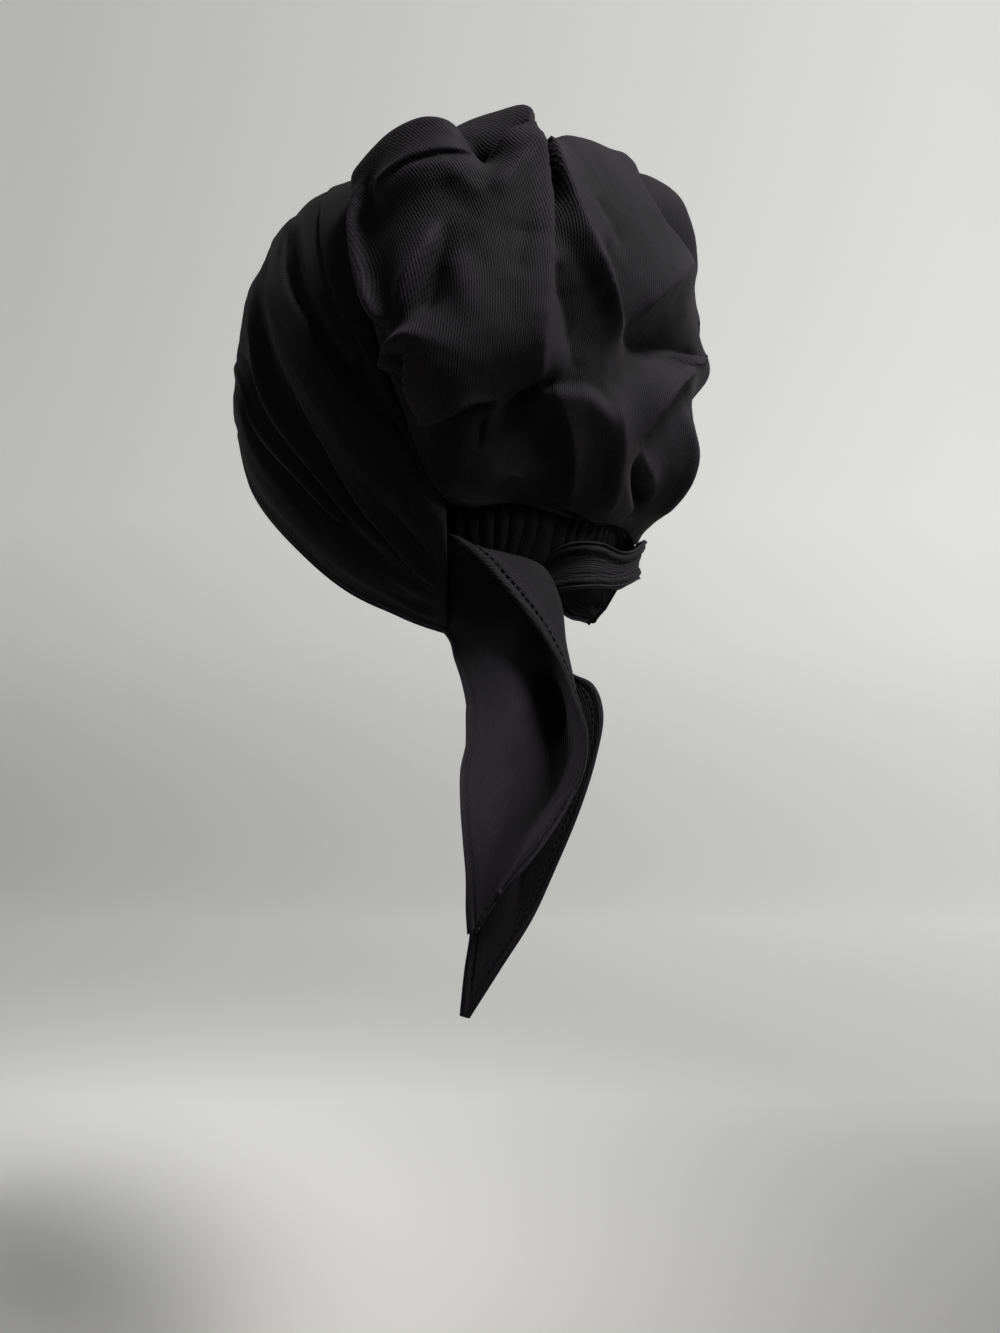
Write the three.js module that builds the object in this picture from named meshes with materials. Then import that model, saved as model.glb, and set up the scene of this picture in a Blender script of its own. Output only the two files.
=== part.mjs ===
// An underscarf bonnet as it is worn: a wide folded band from the forehead over the crown, a slouchy
// gathered bag behind it, a ruched elastic at the nape and two tie ends below. Millimetres, +Z up.
// The face looks along -Y and the wearer's left is +X. The origin is the middle of the head opening.
import * as THREE from 'three';

// ---- Driving dimensions ----
// The head the bonnet is shaped over, from its middle, and the walls of cloth.
const HEAD = {
  halfWidth: 75, front: 95, back: 94, up: 91, down: 122, middle: 48, crownFullness: 2.8, napeFullness: 2.5,
};
const WALL = { band: 1.6, bag: 1.6, elastic: 2.4, tie: 1.4 };
const GAP = 0.4;

const BAND_STEPS = { along: 72, across: 11 };
const BAG_STEPS = 37;
const ELASTIC_STEPS = { along: 60, across: 2 };
const CLOTH = new THREE.MeshStandardMaterial({ color: 0x1b171a, roughness: 0.85, metalness: 0 });
const ELASTIC = new THREE.MeshStandardMaterial({ color: 0x151215, roughness: 0.9, metalness: 0 });

// The hem of the band on the wearer's left, from the front to the nape. reach is the place along the
// band, turn the angle round the head from the face, and level the height.
const HEM = [
  { reach: 0.00, turn: 0, level: 50 },
  { reach: 0.25, turn: 33, level: 46 },
  { reach: 0.43, turn: 57, level: 34 },
  { reach: 0.52, turn: 70, level: 10 },
  { reach: 0.64, turn: 93, level: -17 },
  { reach: 0.78, turn: 113, level: -36 },
  { reach: 0.90, turn: 132, level: -46 },
  { reach: 1.00, turn: 148, level: -51 },
];

// how much higher the hem ends on the wearer's right
const HEM_HITCH = 9;

// The seam between the band and the bag, from the top of the head down the wearer's left to the
// middle of the nape. clock is the angle round the bag as seen from behind, with 0 at the top.
const SEAM = [
  { clock: 0, x: 0, y: 12, z: 152 },
  { clock: 14, x: 21, y: 13.5, z: 151 },
  { clock: 35, x: 49, y: 25, z: 144 },
  { clock: 62, x: 62, y: 37, z: 116 },
  { clock: 85, x: 69, y: 48, z: 84 },
  { clock: 104, x: 69, y: 55, z: 56 },
  { clock: 124, x: 64, y: 63, z: 27 },
  { clock: 146, x: 52, y: 74, z: -8 },
  { clock: 163, x: 28, y: 88, z: -9 },
  { clock: 180, x: 0, y: 94, z: -10 },
];
const SEAM_CORNER = 146;

// How far the band stands off the head from its hem, at 0, to its seam, at 1.
const BAND_LIFT = [
  { across: 0, lift: 1.5 },
  { across: 0.12, lift: 3.5 },
  { across: 0.4, lift: 5 },
  { across: 0.8, lift: 8 },
  { across: 0.94, lift: 6.5 },
  { across: 1, lift: 4 },
];

// The band's folds, each running the whole way round. front, temple, ear and nape are its places across
// the band, from the hem at 0 to the seam at 1. rise is its height, and above and below are how far it
// spreads to each side where the band is widest.
const BAND_FOLDS = [
  { name: 'hem roll', front: 0.07, temple: 0.08, ear: 0.09, nape: 0.1, rise: 1.8, above: 10, below: 8 },
  { name: 'hem crease', front: 0.16, temple: 0.14, ear: 0.15, nape: 0.2, rise: -2, above: 4, below: 6 },
  { name: 'low pleat', front: 0.26, temple: 0.2, ear: 0.2, nape: 0.27, rise: 2.8, above: 12, below: 4 },
  { name: 'middle crease', front: 0.4, temple: 0.32, ear: 0.27, nape: 0.36, rise: -2.2, above: 4, below: 9 },
  { name: 'middle pleat', front: 0.5, temple: 0.45, ear: 0.36, nape: 0.42, rise: 3.4, above: 16, below: 4 },
  { name: 'deep crease', front: 0.64, temple: 0.6, ear: 0.65, nape: 0.78, rise: -3.4, above: 4, below: 14 },
  { name: 'upper pleat', front: 0.7, temple: 0.68, ear: 0.73, nape: 0.86, rise: 3.6, above: 14, below: 4 },
  { name: 'upper crease', front: 0.84, temple: 0.83, ear: 0.87, nape: 0.93, rise: -2.2, above: 4, below: 7 },
  { name: 'seam pleat', front: 0.92, temple: 0.91, ear: 0.93, nape: 0.97, rise: 2.2, above: 8, below: 4 },
];
// how much further the band stands off at its ends, over the elastic
const NAPE_LIFT = 2;
const FOLD_PLACES = { front: 0, temple: 0.45, ear: 0.7, nape: 1 };
const BAND_WIDEST = 165;
const FOLD_SHARPNESS = 1.6;

// The elastic round the back of the neck, between two places on the bag's clock.
const ELASTIC_BAND = { from: 144, to: 216, drop: 20, lift: 1.8, ruffles: 18, ruffle: 1, tuck: 4.5 };

// The bag: the middle and half sizes of its round form, and how far its axis is tilted up from straight back.
const BAG = {
  middle: { x: 0, y: 66, z: 62 }, halfWidth: 83, back: 58, up: 79, down: 76, tilt: 20, fullness: 2.4,
};
// How far round from the bag's axis its free form goes, before it turns in to the seam with a roll whose
// fullness is turn.
const BAG_EDGE = [
  { clock: 0, angle: 100, turn: 1.6 },
  { clock: 60, angle: 84, turn: 1.6 },
  { clock: 120, angle: 84, turn: 1.6 },
  { clock: 155, angle: 88, turn: 0.4 },
  { clock: 180, angle: 89, turn: 0.2 },
];
// BAG_TURN is where the free part ends and the turn in to the seam starts, as a share of the way from the
// middle of the bag. BAG_SPAN is the cloth's length for one unit of the bag's map, whose side and up run
// from -1 to 1 with side to the wearer's left.
const BAG_TURN = 0.88;
const BAG_SPAN = 140;
const FACET_BLEND = 7;

// Flat panels of the bag: where each is on the map, and how deep it cuts into the round form.
const BAG_PANELS = [
  { name: 'left panel', side: 0.6, up: -0.05, cut: 4 },
  { name: 'middle panel', side: 0.22, up: 0.02, cut: 5 },
  { name: 'right panel', side: -0.05, up: 0.1, cut: 5 },
  { name: 'top slope', side: 0.05, up: 0.5, cut: 11 },
  { name: 'left top slope', side: 0.45, up: 0.62, cut: 5 },
  { name: 'far right panel', side: -0.55, up: 0.05, cut: 5 },
  { name: 'lower left panel', side: 0.42, up: -0.68, cut: 6 },
  { name: 'lower right panel', side: -0.25, up: -0.62, cut: 6 },
  { name: 'right low side', side: -0.7, up: -0.45, cut: 4 },
  { name: 'right top slope', side: -0.5, up: 0.6, cut: 6 },
];

// Folds of the bag: the way each takes over the map, its rise, or depth where that is less than 0, and its
// spread to the left and right of that way.
const BAG_FOLDS = [
  { name: 'knife pleat', rise: 6, left: 4, right: 26,
    way: [[0.3, 0.42], [0.36, 0.2], [0.4, -0.06], [0.42, -0.3], [0.4, -0.48]] },
  { name: 'knife crease', rise: -5, left: 14, right: 4,
    way: [[0.26, 0.4], [0.32, 0.2], [0.35, -0.04], [0.38, -0.28], [0.38, -0.46]] },
  { name: 'wedge crease', rise: -5, left: 8, right: 9,
    way: [[0.24, 0.34], [0.23, 0.1], [0.2, -0.12], [0.12, -0.34]] },
  { name: 'wedge ridge', rise: 4, left: 16, right: 12,
    way: [[0.14, 0.36], [0.12, 0.12], [0.06, -0.1], [0.0, -0.24]] },
  { name: 'right band', rise: 5, left: 12, right: 10,
    way: [[-0.08, 0.36], [-0.2, 0.24], [-0.32, 0.1], [-0.42, -0.04]] },
  { name: 'right band crease', rise: -4, left: 5, right: 9,
    way: [[-0.02, 0.34], [-0.14, 0.18], [-0.26, 0.02], [-0.34, -0.12]] },
  { name: 'left tuck', rise: -5, left: 7, right: 6,
    way: [[0.84, -0.28], [0.7, -0.4], [0.55, -0.47], [0.4, -0.5]] },
  { name: 'tuck overhang', rise: 7, left: 12, right: 4,
    way: [[0.74, -0.54], [0.64, -0.56], [0.52, -0.54], [0.4, -0.52]] },
  { name: 'under tuck', rise: -5, left: 4, right: 12,
    way: [[0.74, -0.62], [0.6, -0.63], [0.45, -0.6], [0.32, -0.56]] },
  { name: 'middle tuck', rise: -6, left: 7, right: 8,
    way: [[0.42, -0.52], [0.28, -0.5], [0.2, -0.46], [0.12, -0.36]] },
  { name: 'right tuck', rise: -6, left: 9, right: 10,
    way: [[0.14, -0.38], [-0.08, -0.32], [-0.3, -0.31], [-0.62, -0.34]] },
  { name: 'right overhang', rise: 5, left: 14, right: 8,
    way: [[0.02, -0.26], [-0.2, -0.2], [-0.4, -0.2], [-0.6, -0.24]] },
  { name: 'low ridge', rise: 5, left: 12, right: 8,
    way: [[0.18, -0.46], [0.1, -0.54], [0.02, -0.66], [-0.06, -0.78]] },
  { name: 'low dent', rise: -5, left: 8, right: 9,
    way: [[-0.02, -0.5], [-0.12, -0.62], [-0.18, -0.74]] },
  { name: 'low right bulge', rise: 8, left: 14, right: 14,
    way: [[-0.3, -0.48], [-0.42, -0.6], [-0.46, -0.72]] },
  { name: 'left dimple', rise: -4, left: 9, right: 9,
    way: [[0.7, 0.08], [0.78, -0.08], [0.82, -0.22]] },
  { name: 'dimple ridge', rise: 4, left: 7, right: 8,
    way: [[0.66, 0.02], [0.74, -0.14], [0.8, -0.3]] },
  { name: 'first roll', rise: 8, left: 12, right: 10,
    way: [[0.86, 0.44], [0.7, 0.5], [0.56, 0.46], [0.46, 0.34]] },
  { name: 'first roll crease', rise: -5, left: 8, right: 6,
    way: [[0.86, 0.24], [0.74, 0.32], [0.62, 0.33], [0.52, 0.26]] },
  { name: 'second roll', rise: 9, left: 10, right: 10,
    way: [[0.38, 0.84], [0.33, 0.6], [0.28, 0.4], [0.25, 0.3]] },
  { name: 'second roll crease', rise: -6, left: 7, right: 7,
    way: [[0.54, 0.78], [0.46, 0.56], [0.43, 0.38], [0.4, 0.28]] },
  { name: 'third roll', rise: 5, left: 11, right: 11,
    way: [[0.04, 0.9], [0.06, 0.66], [0.05, 0.42]] },
  { name: 'third roll crease', rise: -5, left: 7, right: 7,
    way: [[0.2, 0.88], [0.18, 0.64], [0.16, 0.46]] },
  { name: 'fourth roll', rise: 6, left: 10, right: 11,
    way: [[-0.36, 0.82], [-0.24, 0.6], [-0.12, 0.38]] },
  { name: 'fourth roll crease', rise: -4, left: 7, right: 7,
    way: [[-0.18, 0.88], [-0.1, 0.64], [-0.04, 0.44]] },
  { name: 'fifth roll', rise: 6, left: 11, right: 11,
    way: [[-0.74, 0.5], [-0.56, 0.38], [-0.4, 0.2]] },
  { name: 'fifth roll crease', rise: -5, left: 7, right: 7,
    way: [[-0.58, 0.68], [-0.42, 0.5], [-0.28, 0.32]] },
  { name: 'far side fold', rise: 5, left: 12, right: 12,
    way: [[-0.86, -0.05], [-0.7, -0.12], [-0.52, -0.12]] },
  { name: 'far side crease', rise: -4, left: 8, right: 8,
    way: [[-0.86, -0.28], [-0.74, -0.3], [-0.6, -0.34]] },
];
// Share of a fold's way over which it fades at each end, and the height that is left there.
const FOLD_END = { fade: 0.2, left: 0.35 };

// The least height of the bag over the head: where it lies on the head, where it lies over the band in
// front of the seam, and at its rim.
const BAG_REST = { onHead: 3.5, onBand: 11, rim: 7.1, blend: 3 };

// Both ties are given in one upright frame turned from the back towards the wearer's left: across runs
// towards the wearer's right, out away from the head, and z up. TIE_ROOT is the stretch of the band's end,
// from its hem at 0 to the seam at 1, that each tie comes from.
const TIE_TURN = 43;
const TIE_ROOT = { left: { from: 0, to: 0.7 }, right: { from: 0.38, to: 0.88 } };
const TIE_STEPS = { left: 24, right: 36, across: 6 };

// The left tie from the end of the band to its tip. Each row is one line across the cloth, through its
// plain edge, its hollow, its turned fold and its hemmed edge, each as [across, out, z].
const LEFT_TIE = [
  { edge: [13, 67, -56], hollow: [23, 72, -48], fold: [32, 80, -27], hem: [21, 87, -27] },
  { edge: [15, 73, -63], hollow: [30, 71, -56], fold: [46, 80, -31], hem: [32, 93, -37] },
  { edge: [18, 79, -72], hollow: [35, 70, -67], fold: [52, 81, -43], hem: [42, 97, -50] },
  { edge: [20, 83, -82], hollow: [39, 71, -79], fold: [54, 84, -59], hem: [50, 98, -63] },
  { edge: [20, 86, -93], hollow: [43, 73, -91], fold: [57, 86, -76], hem: [55, 97, -77] },
  { edge: [18, 87, -103], hollow: [44, 76, -103], fold: [60, 87, -93], hem: [59, 95, -90] },
  { edge: [18, 88, -114], hollow: [42, 80, -114], fold: [56, 87, -105], hem: [59, 93, -101] },
  { edge: [19, 89, -127], hollow: [37, 84, -125], fold: [49, 88, -118], hem: [54, 91, -114] },
  { edge: [20, 90, -139], hollow: [31, 87, -137], fold: [40, 89, -131], hem: [45, 91, -128] },
  { edge: [20, 90, -150], hollow: [26, 89, -148], fold: [31, 90, -144], hem: [34, 90, -142] },
  { edge: [20.5, 90, -158], hollow: [22, 90, -157], fold: [23, 90, -157], hem: [24, 90, -156] },
];

// The right tie: out from the band's end in a loop under the bag, in behind the left tie, and down. upper
// and lower are its two edges, and bow is how far its middle stands off the line between them.
const RIGHT_TIE = [
  { upper: [87, 29, -13], lower: [79, 29, -36], bow: 2 },
  { upper: [89, 42, -15], lower: [84, 44, -36], bow: 2 },
  { upper: [87, 57, -19], lower: [84, 60, -35], bow: 2 },
  { upper: [78, 69, -23], lower: [75, 72, -37], bow: 2 },
  { upper: [67, 77, -21], lower: [62, 78, -38], bow: 2 },
  { upper: [55, 77, -22], lower: [48, 74, -40], bow: 2 },
  { upper: [45, 67, -30], lower: [34, 63, -47], bow: 1 },
  { upper: [44, 61, -43], lower: [26, 57, -56], bow: 0 },
  { upper: [50, 58, -57], lower: [21, 58, -68], bow: -3 },
  { upper: [58, 61, -67], lower: [19, 63, -79], bow: -5 },
  { upper: [66, 66, -72], lower: [19, 68, -91], bow: -6 },
  { upper: [69, 73, -83], lower: [19, 73, -102], bow: -6 },
  { upper: [66, 76, -99], lower: [19, 76, -114], bow: -5 },
  { upper: [60, 78, -117], lower: [19, 77, -128], bow: -4 },
  { upper: [51, 78, -138], lower: [20, 78, -143], bow: -3 },
  { upper: [43, 78, -155], lower: [21, 77, -158], bow: -2 },
  { upper: [32, 78, -172], lower: [19, 77, -173], bow: -1 },
  { upper: [21, 77, -189], lower: [17.5, 77, -188], bow: 0 },
];
// ---- Small helpers ----
const radians = THREE.MathUtils.degToRad;
const degrees = THREE.MathUtils.radToDeg;
const vector = (x, y, z) => new THREE.Vector3(x, y, z);

// A smooth reading of one column of a table whose rows rise in another column.
function readColumn(rows, key, column, at) {
  const last = rows.length - 1;
  if (at <= rows[0][key]) return rows[0][column];
  if (at >= rows[last][key]) return rows[last][column];
  let i = 0;
  while (at > rows[i + 1][key]) i += 1;
  const slope = (j) => {
    const a = rows[Math.max(j - 1, 0)];
    const b = rows[Math.min(j + 1, last)];
    return (b[column] - a[column]) / (b[key] - a[key]);
  };
  const span = rows[i + 1][key] - rows[i][key];
  const t = (at - rows[i][key]) / span;
  const rise = rows[i + 1][column] - rows[i][column];
  const bend = (1 - t) * (slope(i) * span - rise) - t * (slope(i + 1) * span - rise);
  return rows[i][column] + t * rise + t * (1 - t) * bend;
}

function smoothStep(low, high, value) {
  return THREE.MathUtils.smoothstep(value, low, high);
}

// ---- The head form that the cloth follows ----
const HEAD_MIDDLE = vector(0, 0, HEAD.middle);

// Distance from the middle of the head to its surface along a unit direction.
function headReach(direction) {
  const depth = direction.y < 0 ? HEAD.front : HEAD.back;
  const height = direction.z > 0 ? HEAD.up : HEAD.down;
  const level = Math.hypot(direction.x / HEAD.halfWidth, direction.y / depth);
  const fullness = direction.z > 0 ? HEAD.crownFullness : HEAD.napeFullness;
  return (level ** fullness + Math.abs(direction.z / height) ** fullness) ** (-1 / fullness);
}

// The point over the head in a direction, with the cloth lift millimetres off it.
function onHead(direction, lift) {
  const unit = direction.clone().normalize();
  return HEAD_MIDDLE.clone().addScaledVector(unit, headReach(unit) + lift);
}

function seamDirection(clock) {
  const side = Math.sign(clock) || 1;
  const at = Math.abs(clock);
  const point = vector(
    side * readColumn(SEAM, 'clock', 'x', at),
    readColumn(SEAM, 'clock', 'y', at),
    readColumn(SEAM, 'clock', 'z', at),
  );
  return point.sub(HEAD_MIDDLE).normalize();
}

function hemDirection(reach) {
  const side = Math.sign(reach) || 1;
  const turn = radians(readColumn(HEM, 'reach', 'turn', Math.abs(reach)));
  const hitch = side < 0 ? HEM_HITCH * smoothStep(0.7, 1, -reach) : 0;
  const rise = readColumn(HEM, 'reach', 'level', Math.abs(reach)) + hitch - HEAD.middle;
  // find the elevation whose point on the head has this level
  let low = radians(-75);
  let high = radians(20);
  const aim = (lift) => vector(
    Math.sin(turn) * Math.cos(lift),
    -Math.cos(turn) * Math.cos(lift),
    Math.sin(lift),
  );
  for (let i = 0; i < 30; i += 1) {
    const middle = (low + high) / 2;
    const unit = aim(middle);
    if (unit.z * (headReach(unit) + BAND_LIFT[0].lift) < rise) low = middle;
    else high = middle;
  }
  const found = aim((low + high) / 2);
  found.x *= side;
  return found;
}

// ---- A closed cloth wall round a surface, given as rows of points on its outer face ----
function clothShell(points, wall) {
  const across = points[0].length;
  const along = points.length;
  const clamp = THREE.MathUtils.clamp;
  const at = (i, j) => points[clamp(i, 0, along - 1)][clamp(j, 0, across - 1)];
  const outer = [];
  const inner = [];
  for (let i = 0; i < along; i += 1) {
    for (let j = 0; j < across; j += 1) {
      const run = at(i + 1, j).clone().sub(at(i - 1, j));
      const side = at(i, j + 1).clone().sub(at(i, j - 1));
      const normal = run.cross(side).normalize();
      outer.push(at(i, j));
      inner.push(at(i, j).clone().addScaledVector(normal, -wall));
    }
  }
  const count = along * across;
  const index = (i, j) => i * across + j;
  const faces = [];
  const quad = (a, b, c, d) => faces.push(a, b, c, a, c, d);
  for (let i = 0; i < along - 1; i += 1) {
    for (let j = 0; j < across - 1; j += 1) {
      const ring = [index(i, j), index(i + 1, j), index(i + 1, j + 1), index(i, j + 1)];
      quad(...ring);
      quad(...ring.map((k) => k + count).reverse());
    }
  }
  const rim = [];
  for (let j = 0; j < across - 1; j += 1) rim.push(index(0, j));
  for (let i = 0; i < along - 1; i += 1) rim.push(index(i, across - 1));
  for (let j = across - 1; j > 0; j -= 1) rim.push(index(along - 1, j));
  for (let i = along - 1; i > 0; i -= 1) rim.push(index(i, 0));
  rim.forEach((a, k) => {
    const b = rim[(k + 1) % rim.length];
    quad(a, b, b + count, a + count);
  });
  const geometry = new THREE.BufferGeometry();
  geometry.setAttribute('position', new THREE.Float32BufferAttribute(
    [...outer, ...inner].flatMap((p) => [p.x, p.y, p.z]), 3));
  geometry.setIndex(faces);
  return geometry;
}

function piece(name, geometry, material) {
  const mesh = new THREE.Mesh(geometry, material);
  mesh.name = name;
  return mesh;
}

// ---- Front band ----
// Height of a fold with its own spread on each side, at a signed distance to the upper side of it.
function foldHeight(fold, distance, upper, lower) {
  const spread = distance > 0 ? upper : lower;
  return fold.rise * Math.exp(-((Math.abs(distance) / spread) ** FOLD_SHARPNESS));
}

function bandFoldLift(reach, across, width) {
  const shrink = Math.max(width / BAND_WIDEST, 0.32);
  return BAND_FOLDS.reduce((sum, fold) => {
    const rows = Object.entries(FOLD_PLACES).map(([place, at]) => ({ at, across: fold[place] }));
    const distance = (across - readColumn(rows, 'at', 'across', Math.abs(reach))) * width;
    return sum + foldHeight(fold, distance, fold.above * shrink, fold.below * shrink);
  }, 0);
}

function bandPoint(reach, across) {
  const low = hemDirection(reach);
  const high = seamDirection(reach * SEAM_CORNER);
  const angle = low.angleTo(high);
  const direction = low.multiplyScalar(Math.sin((1 - across) * angle))
    .addScaledVector(high, Math.sin(across * angle));
  const width = angle * headReach(direction.clone().normalize());
  const edge = smoothStep(0, 0.05, across) * (1 - smoothStep(0.95, 1, across));
  const end = smoothStep(0.86, 1, Math.abs(reach));
  const folds = edge * (1 - 0.6 * end) * bandFoldLift(reach, across, width);
  return onHead(direction, readColumn(BAND_LIFT, 'across', 'lift', across) + folds + NAPE_LIFT * end);
}

function frontBand() {
  const rows = [];
  for (let i = 0; i <= BAND_STEPS.along; i += 1) {
    const reach = 1 - (2 * i) / BAND_STEPS.along;
    const row = [];
    for (let j = 0; j <= BAND_STEPS.across; j += 1) row.push(bandPoint(reach, j / BAND_STEPS.across));
    rows.push(row);
  }
  return piece('front_band', clothShell(rows, WALL.band), CLOTH);
}

// ---- Crown bag ----
const BAG_MIDDLE = vector(BAG.middle.x, BAG.middle.y, BAG.middle.z);
const BAG_AXIS = vector(0, Math.cos(radians(BAG.tilt)), Math.sin(radians(BAG.tilt)));
const BAG_UP = vector(0, -Math.sin(radians(BAG.tilt)), Math.cos(radians(BAG.tilt)));
function bagDirection(angle, clock) {
  const tilt = radians(angle);
  const spin = radians(clock);
  return vector(Math.sin(tilt) * Math.sin(spin), 0, 0)
    .addScaledVector(BAG_AXIS, Math.cos(tilt))
    .addScaledVector(BAG_UP, Math.sin(tilt) * Math.cos(spin));
}

function bagEdgeAngle(clock) {
  return readColumn(BAG_EDGE, 'clock', 'angle', Math.abs(clock));
}

// The bag's round form, before its panels are cut flat.
function roundReach(direction) {
  const height = direction.z > 0 ? BAG.up : BAG.down;
  const level = Math.hypot(direction.x / BAG.halfWidth, direction.y / BAG.back);
  return (level ** BAG.fullness + Math.abs(direction.z / height) ** BAG.fullness) ** (-1 / BAG.fullness);
}

function mapDirection(side, up) {
  const clock = degrees(Math.atan2(side, up));
  return bagDirection((Math.hypot(side, up) / BAG_TURN) * bagEdgeAngle(clock), clock);
}

// Each panel as the plane it lies in: its outward normal, and its distance from the middle of the bag.
const panelPlanes = BAG_PANELS.map((panel) => {
  const at = (side, up) => {
    const direction = mapDirection(side, up);
    return direction.clone().multiplyScalar(roundReach(direction));
  };
  const step = 0.01;
  const point = at(panel.side, panel.up);
  const rightward = at(panel.side - step, panel.up).sub(point);
  const upward = at(panel.side, panel.up + step).sub(point);
  const normal = rightward.cross(upward).normalize();
  return { normal, distance: normal.dot(point) - panel.cut };
});

function softMin(a, b, blend) {
  const share = THREE.MathUtils.clamp(0.5 + (b - a) / (2 * blend), 0, 1);
  return b + (a - b) * share - blend * share * (1 - share);
}

function panelledReach(direction) {
  return panelPlanes.reduce((reach, plane) => {
    const facing = plane.normal.dot(direction);
    return facing > 0.2 ? softMin(reach, plane.distance / facing, FACET_BLEND) : reach;
  }, roundReach(direction));
}

// The folds' ways as smooth lines over the map, in millimetres as seen from behind.
const foldWays = BAG_FOLDS.map((fold) => {
  const way = fold.way.map(([side, up]) => new THREE.Vector2(-side * BAG_SPAN, up * BAG_SPAN));
  return { ...fold, points: new THREE.SplineCurve(way).getPoints(12) };
});

function bagFoldLift(side, up) {
  const spot = new THREE.Vector2(-side * BAG_SPAN, up * BAG_SPAN);
  return foldWays.reduce((sum, fold) => {
    let best = { gap: Infinity };
    for (let i = 0; i < fold.points.length - 1; i += 1) {
      const start = fold.points[i];
      const run = fold.points[i + 1].clone().sub(start);
      const off = spot.clone().sub(start);
      const along = THREE.MathUtils.clamp(off.dot(run) / run.lengthSq(), 0, 1);
      const gap = off.clone().addScaledVector(run, -along).length();
      const way = (i + along) / (fold.points.length - 1);
      if (gap < best.gap) best = { gap, way, left: run.cross(off) > 0 };
    }
    const fade = smoothStep(0, FOLD_END.fade, best.way) * (1 - smoothStep(1 - FOLD_END.fade, 1, best.way));
    const ends = THREE.MathUtils.lerp(FOLD_END.left, 1, fade);
    return sum + ends * foldHeight(fold, best.left ? best.gap : -best.gap, fold.left, fold.right);
  }, 0);
}

function restOnHead(point, seam) {
  const ahead = seam.clone().sub(point).dot(BAG_AXIS);
  const least = THREE.MathUtils.lerp(BAG_REST.onHead, BAG_REST.onBand, smoothStep(-3, 3, ahead));
  const spoke = point.clone().sub(HEAD_MIDDLE);
  const reach = spoke.length();
  const unit = spoke.divideScalar(reach);
  const floor = headReach(unit) + least;
  const lifted = -softMin(-reach, -floor, BAG_REST.blend);
  const onCrown = smoothStep(0.1, 0.5, unit.z);
  return HEAD_MIDDLE.clone().addScaledVector(unit, THREE.MathUtils.lerp(reach, lifted, onCrown));
}

function bagPoint(share, clock) {
  const edge = bagEdgeAngle(clock);
  const spin = radians(clock);
  const form = (part) => {
    const direction = bagDirection(Math.min(part / BAG_TURN, 1) * edge, clock);
    const lift = bagFoldLift(part * Math.sin(spin), part * Math.cos(spin));
    return BAG_MIDDLE.clone().addScaledVector(direction, panelledReach(direction) + lift);
  };
  const overBand = BAG_REST.rim + NAPE_LIFT * smoothStep(0.86, 1, Math.abs(clock) / SEAM_CORNER);
  const overElastic = ELASTIC_BAND.lift + ELASTIC_BAND.ruffle + 0.8;
  const pastCorner = smoothStep(SEAM_CORNER + 3, SEAM_CORNER + 16, Math.abs(clock));
  const under = THREE.MathUtils.lerp(overBand, overElastic, pastCorner);
  const seam = onHead(seamDirection(clock), under + GAP + WALL.bag);
  const point = form(Math.min(share, BAG_TURN));
  if (share <= BAG_TURN) return restOnHead(point, seam);
  const t = (share - BAG_TURN) / (1 - BAG_TURN);
  const turn = readColumn(BAG_EDGE, 'clock', 'turn', Math.abs(clock));
  const leave = point.clone().sub(form(BAG_TURN - 0.06)).multiplyScalar(turn).add(point);
  const turned = point.multiplyScalar((1 - t) ** 2)
    .addScaledVector(leave, 2 * t * (1 - t))
    .addScaledVector(seam, t * t);
  return restOnHead(turned, seam).lerp(turned, smoothStep(0.6, 1, t));
}

// The bag is a square grid drawn out to a disc, so that it has no pole where its rows would meet.
function crownBag() {
  const rows = [];
  for (let i = 0; i <= BAG_STEPS; i += 1) {
    const row = [];
    for (let j = 0; j <= BAG_STEPS; j += 1) {
      const x = (2 * i) / BAG_STEPS - 1;
      const y = (2 * j) / BAG_STEPS - 1;
      row.push(bagPoint(Math.max(Math.abs(x), Math.abs(y)), degrees(Math.atan2(y, x))));
    }
    rows.push(row);
  }
  return piece('crown_bag', clothShell(rows, WALL.bag), CLOTH);
}

// ---- Ties ----
const TIE_OUT = vector(Math.sin(radians(TIE_TURN)), Math.cos(radians(TIE_TURN)), 0);
const TIE_ACROSS = vector(-Math.cos(radians(TIE_TURN)), Math.sin(radians(TIE_TURN)), 0);

function tiePoint([across, out, z]) {
  return vector(0, 0, z).addScaledVector(TIE_ACROSS, across).addScaledVector(TIE_OUT, out);
}

// Where a tie starts: just past the end of the band, at a place across it.
function bandEnd(side, across) {
  const end = bandPoint(side, across);
  const onward = end.clone().sub(bandPoint(side * 0.99, across)).normalize();
  return end.addScaledVector(onward, 1.5 * GAP);
}

// A tie's cloth, from smooth lines along its length that are joined across by a smooth line.
function tieCloth(name, lines, steps) {
  const curves = lines.map((points) => new THREE.CatmullRomCurve3(points));
  const rows = [];
  for (let i = 0; i <= steps; i += 1) {
    const section = new THREE.CatmullRomCurve3(curves.map((curve) => curve.getPoint(i / steps)));
    rows.push(section.getPoints(TIE_STEPS.across));
  }
  return piece(name, clothShell(rows, WALL.tie), CLOTH);
}

function leftTie() {
  const lines = ['edge', 'hollow', 'fold', 'hem'].map((line, i) => [
    bandEnd(1, THREE.MathUtils.lerp(TIE_ROOT.left.from, TIE_ROOT.left.to, i / 3)),
    ...LEFT_TIE.map((row) => tiePoint(row[line])),
  ]);
  return tieCloth('left_tie', lines, TIE_STEPS.left);
}

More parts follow.
